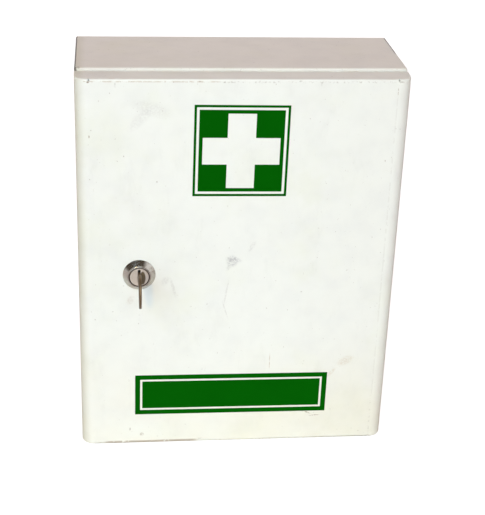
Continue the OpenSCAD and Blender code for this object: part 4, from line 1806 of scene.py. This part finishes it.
@dataclass
class Studio:
    """Floor, light and camera. The camera's place was worked out from the photograph's edges."""

    camera_at: tuple[float, float, float] = (-0.129884, -1.215014, 0.756878)
    azimuth: float = 6.676
    down: float = 25.326
    roll: float = 2.110
    lens: float = 88.526
    soft_stops: tuple[Stop, Stop] = ((0.0, (0.15, 0.15, 0.16)), (0.6, (0.415, 0.268, 0.238)))
    mirror_stops: tuple[Stop, Stop] = ((0.3, (1, 1, 1)), (0.66, (0.08, 0.056, 0.034)))
    mirror_lean: float = 0.4
    lamp_across: float = 14
    lamp_up: float = 26
    lamps: tuple[tuple[str, float, float, Colour], ...] = (
        ("window", 2.11, 60, (0.752, 1.0, 1.164)),
        ("flash", 0.58, 3, (1.0, 0.62, 0.15)),
    )

    def floor(self) -> None:
        """Lays the pale floor, which keeps the object's shadow."""
        form = bmesh.new()
        bmesh.ops.create_grid(form, x_segments=1, y_segments=1, size=8)
        floor = mesh_piece("floor", form)
        floor.location.z = -0.0003
        shader = Shader("floor_white")
        shader.surface_is(Base_Color=(0.88, 0.88, 0.875), Roughness=0.9, Specular_IOR_Level=0.0)
        paper = shader.add("BsdfDiffuse", Color=(0.42, 0.42, 0.42)).outputs[0]
        glow = shader.add("Emission", Color=(0.86, 0.86, 0.86), Strength=1.0).outputs[0]
        shown = shader.fill("AddShader", paper, glow)
        seen = shader.add("LightPath").outputs["Is Camera Ray"]
        set_input(shader.out.inputs[0], shader.fill("MixShader", seen, shader.surface.outputs[0], shown))
        floor.data.materials.append(shader.material)

    def sky(self) -> None:
        """Fills the room with soft light, white where the camera or a reflection sees it."""
        world = bpy.data.worlds.new("room")
        bpy.context.scene.world = world
        world.use_nodes = True
        work = NodeWork(world.node_tree)
        path = work.add("LightPath").outputs
        shiny = work.math("MAXIMUM", path["Is Glossy Ray"], path["Is Transmission Ray"])
        across, _, up = work.add("SeparateXYZ", Vector=work.add("TexCoord").outputs["Generated"]).outputs
        leaning = work.math("MULTIPLY_ADD", across, -self.mirror_lean, up)
        lights = []
        for value, stops in ((up, self.soft_stops), (leaning, self.mirror_stops)):
            ramp = work.add("ValToRGB", Fac=value)
            for stop, (at, colour) in zip(ramp.color_ramp.elements, stops, strict=True):
                stop.position = at
                stop.color = (*colour, 1)
            lights.append(work.add("Background", Color=ramp.outputs[0]).outputs[0])
        white = work.add("Background", Color=(1, 1, 1)).outputs[0]
        unseen = work.fill("MixShader", shiny, *lights)
        work.add("OutputWorld", Surface=work.fill("MixShader", path["Is Camera Ray"], unseen, white))

    def lamp(self, name: str, strength: float, softness: float, colour: Colour) -> None:
        """Adds a distant lamp in front of the door.

        Args:
            name: Name of the lamp.
            strength: Its strength.
            softness: Its own size as seen from the object, in degrees.
            colour: Its colour.
        """
        data = bpy.data.lights.new(name, "SUN")
        data.energy = strength
        data.angle = math.radians(softness)
        data.color = colour
        lamp = in_scene(name, data)
        a, e = math.radians(self.lamp_across), math.radians(self.lamp_up)
        towards = Vector((-math.sin(a) * math.cos(e), -math.cos(a) * math.cos(e), math.sin(e)))
        lamp.rotation_euler = towards.to_track_quat("Z", "Y").to_euler()
        lamp.location = towards * 3

    def camera(self) -> None:
        """Sets up the photograph's camera."""
        data = bpy.data.cameras.new("camera")
        data.sensor_fit = "AUTO"
        data.sensor_width = 36.0
        data.lens = self.lens
        data.clip_start, data.clip_end = 0.05, 50
        az, el, roll = (math.radians(v) for v in (self.azimuth, self.down, self.roll))
        ahead = Vector((math.sin(az) * math.cos(el), math.cos(az) * math.cos(el), -math.sin(el)))
        right = ahead.cross(Vector((0, 0, 1))).normalized()
        up = right.cross(ahead)
        across = right * math.cos(roll) + up * math.sin(roll)
        rise = up * math.cos(roll) - right * math.sin(roll)
        turn = Matrix((across, rise, -ahead)).transposed()
        camera = in_scene("camera", data)
        camera.matrix_world = Matrix.Translation(self.camera_at) @ turn.to_4x4()
        bpy.context.scene.camera = camera

    def build(self) -> None:
        """Sets up the floor, the light and the camera."""
        self.camera()
        self.floor()
        self.sky()
        for lamp in self.lamps:
            self.lamp(*lamp)
        bpy.context.scene.view_settings.view_transform = "Standard"


DOOR_MARKS = (
    Mark(-7.5, 213.0, 7.0, 8.0, 0.7, (0.46, 0.46, 0.46)),
    Mark(-6.0, 214.5, 10.5, 4.2, 0.5, (0.48, 0.48, 0.48), 0.2),
    Mark(-11.0, 206.0, 2.6, 5.0, 0.35, (0.5, 0.5, 0.48), 0.4),
    Mark(12.0, 228.5, 3.4, 9.0, 0.35, (0.52, 0.52, 0.5), 0.5),
    Mark(-12.5, 178.0, 1.2, 20.0, 0.4, (0.55, 0.54, 0.5), 0.15),
    Mark(-13.0, 158.0, 1.0, 14.0, 0.35, (0.55, 0.54, 0.5), -0.3),
    Mark(-66.0, 184.0, 2.2, 14.0, 0.4, (0.56, 0.55, 0.52), -0.25),
    Mark(-74.0, 192.0, 5.0, 7.0, 0.3, (0.56, 0.55, 0.52), 0.6),
    Mark(-109.0, 171.0, 4.5, 7.0, 0.4, (0.62, 0.56, 0.48), 0.5),
    Mark(-99.0, 362.0, 20.0, 7.0, 0.28, (0.6, 0.59, 0.56), -0.8),
    Mark(-88.0, 372.0, 26.0, 9.0, 0.25, (0.6, 0.59, 0.56), 0.3),
    Mark(115.0, 96.0, 12.0, 6.0, 0.5, (0.66, 0.58, 0.44), -0.5),
    Mark(101.0, 82.0, 9.0, 2.4, 0.45, (0.66, 0.58, 0.44), -0.9),
    Mark(-146.8, 345.0, 0.8, 2.2, 0.95),
    Mark(139.0, 319.0, 0.8, 1.4, 0.8, (0.36, 0.3, 0.24)),
    Mark(35.0, 97.0, 0.45, 13, 0.8, (0.5, 0.38, 0.26)),
    Mark(78.0, 33.5, 5.0, 1.1, 0.9, (0.4, 0.33, 0.26), 0.45),
    Mark(86.0, 29.8, 7.5, 0.9, 0.85, (0.4, 0.33, 0.26), -0.1),
    Mark(72.5, 36.0, 3.0, 1.6, 0.6, (0.42, 0.36, 0.28), 0.8),
    Mark(-109.9, 18.4, 0.9, 2.4, 0.95, (0.28, 0.25, 0.2)),
    Mark(-97.5, 11.7, 2.8, 2.8, 0.7, (0.42, 0.36, 0.28)),
    Mark(-36.0, 4.5, 3.0, 1.0, 0.5, (0.4, 0.36, 0.3)),
    Mark(-147.1, 398.2, 1.6, 1.1, 0.95, (0.22, 0.16, 0.1)),
    Mark(-43.1, 399.0, 1.4, 0.9, 0.95, (0.24, 0.17, 0.11)),
    Mark(-19.8, 398.3, 1.0, 1.1, 0.85, (0.3, 0.26, 0.22)),
    Mark(-122.0, 395.5, 0.8, 3.6, 0.5, (0.4, 0.4, 0.36)),
    Mark(51.9, 399.4, 2.0, 0.9, 0.95, (0.22, 0.2, 0.16)),
    Mark(72.0, 396.5, 0.7, 2.8, 0.5, (0.4, 0.38, 0.34)),
    Mark(148.6, 398.6, 2.9, 0.9, 0.9, (0.3, 0.25, 0.2)),
    Mark(146.0, 389.5, 0.7, 5.0, 0.7, (0.36, 0.28, 0.2)),
)
DOOR_LINES = (
    GrimeAndShadeLine(2, 398.5, 399.1, 0.34, 360, 0.44, ((0, -150, -30, 10),), (0.4, 0.27, 0.13)),
    GrimeAndShadeLine(2, 398.0, 398.9, 0.3, 420, 0.52, ((0, -20, 150, 10),)),
    GrimeAndShadeLine(2, 1.2, 3.6, 0.6, 110, 0.32, ((0, -130, -45, 10),), (0.36, 0.24, 0.15)),
    GrimeAndShadeLine(2, 0.0, 1.6, 0.4, 160, 0.52),
    # The next two lines lie on the crease where the right rim's bend starts: painted shade along it, broken
    # into specks of grime.
    GrimeAndShadeLine(0, 145.6, 146.3, 0.12, 200, 0.42, ((2, 60, 380, 10),), (0.4, 0.36, 0.3)),
    GrimeAndShadeLine(0, 145.0, 146.0, 0.3, 120, 0.45, ((2, 12, 50, 10),), (0.36, 0.32, 0.26)),
)
# The first two lines are near-black painted shade along the case top's rounded side edges; the third is
# grime along the front fold.
CASE_LINES = (
    GrimeAndShadeLine(0, -162.0, -158.9, 0.95, 60, 0.2, ((2, 402.4, 406, 0.5),), (0.07, 0.06, 0.05)),
    GrimeAndShadeLine(0, 158.2, 162.0, 0.9, 70, 0.25, ((2, 402.4, 406, 0.5), (1, 0, 60, 10)), (0.07, 0.06, 0.05)),
    GrimeAndShadeLine(1, -56.0, -53.5, 0.3, 300, 0.6),
)
CASE_MARKS = (
    Mark(-159.0, 401.5, 3.4, 3.4, 1.0, (0.05, 0.035, 0.025), y=-53.5),
    Mark(-156.0, 402.8, 2.2, 1.8, 0.9, (0.12, 0.09, 0.06), y=-52.5),
)
# Painted shade on the plug's face: a black spot for the hollow keyway above the key, the key's painted
# shadow to its right, and a dark line for the shade in the slot to its left.
PLUG_PAINTED_SHADE = (
    Mark(-100.0, 206.7, 1.8, 2.0, 1.0, (0.006, 0.004, 0.003), y=-88.6, hard=0.6),
    Mark(-96.7, 199.0, 3.1, 7.8, 0.95, (0.12, 0.085, 0.04), y=-88.6, hard=0.8),
    Mark(-101.3, 200.5, 0.4, 7.5, 0.9, (0.02, 0.014, 0.01), y=-88.6, hard=0.7),
)


def main() -> None:
    """Loads the frame and builds every sub-assembly in order."""
    logging.basicConfig(level=logging.INFO, format="%(name)s: %(message)s")
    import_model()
    Studio().build()
    case_paint = Enamel(
        "case_enamel", tint=(0.86, 0.85, 0.79), age_below=60, marks=CASE_MARKS, lines=CASE_LINES
    ).material()
    door_paint = Enamel("door_enamel", marks=DOOR_MARKS, lines=DOOR_LINES, worn_before=-81.3).material()
    zinc = Metal("zinc_plate", (0.66, 0.66, 0.64), (0.4, 0.4, 0.36), 0.36, (1, 6, 1)).material()
    nickel = Metal(
        "worn_nickel",
        (0.6, 0.573, 0.53),
        (0.27, 0.218, 0.155),
        0.2,
        tarnished=0.55,
        rings_about=(-100.0, 199.6),
        # Painted shade in the gap round the plug.
        shaded_gap_ring=(9.5, 10.4, 0.2),
    ).material()
    cast = Metal(
        "satin_cast",
        (0.66, 0.58, 0.51),
        (0.5, 0.43, 0.36),
        0.5,
        tarnished=0.4,
        metallic=0.35,
        # The plug's painted shade: keyway hollow, the key's shadow and the slot line.
        marks=PLUG_PAINTED_SHADE,
    ).material()
    brass = Metal(
        "tarnished_brass",
        (0.178, 0.118, 0.068),
        (0.062, 0.038, 0.02),
        0.45,
        (1, 3, 1),
        tarnished=0.6,
        metallic=0.7,
    ).material()
    nylon = Moulded("ivory_nylon", (0.82, 0.79, 0.7), (0.74, 0.7, 0.6), 0.5).material()
    rubber = Moulded("grey_rubber", (0.14, 0.14, 0.14), (0.09, 0.09, 0.09), 0.8).material()
    Case(case_paint, rubber).build()
    DoorPan(door_paint).build()
    HingeSet(zinc, nylon).build()
    CamLock(nickel, cast, zinc, brass).build()
    Key(brass).build()
    Labels(Film("green_film").material()).build()


if __name__ == "__main__":
    main()
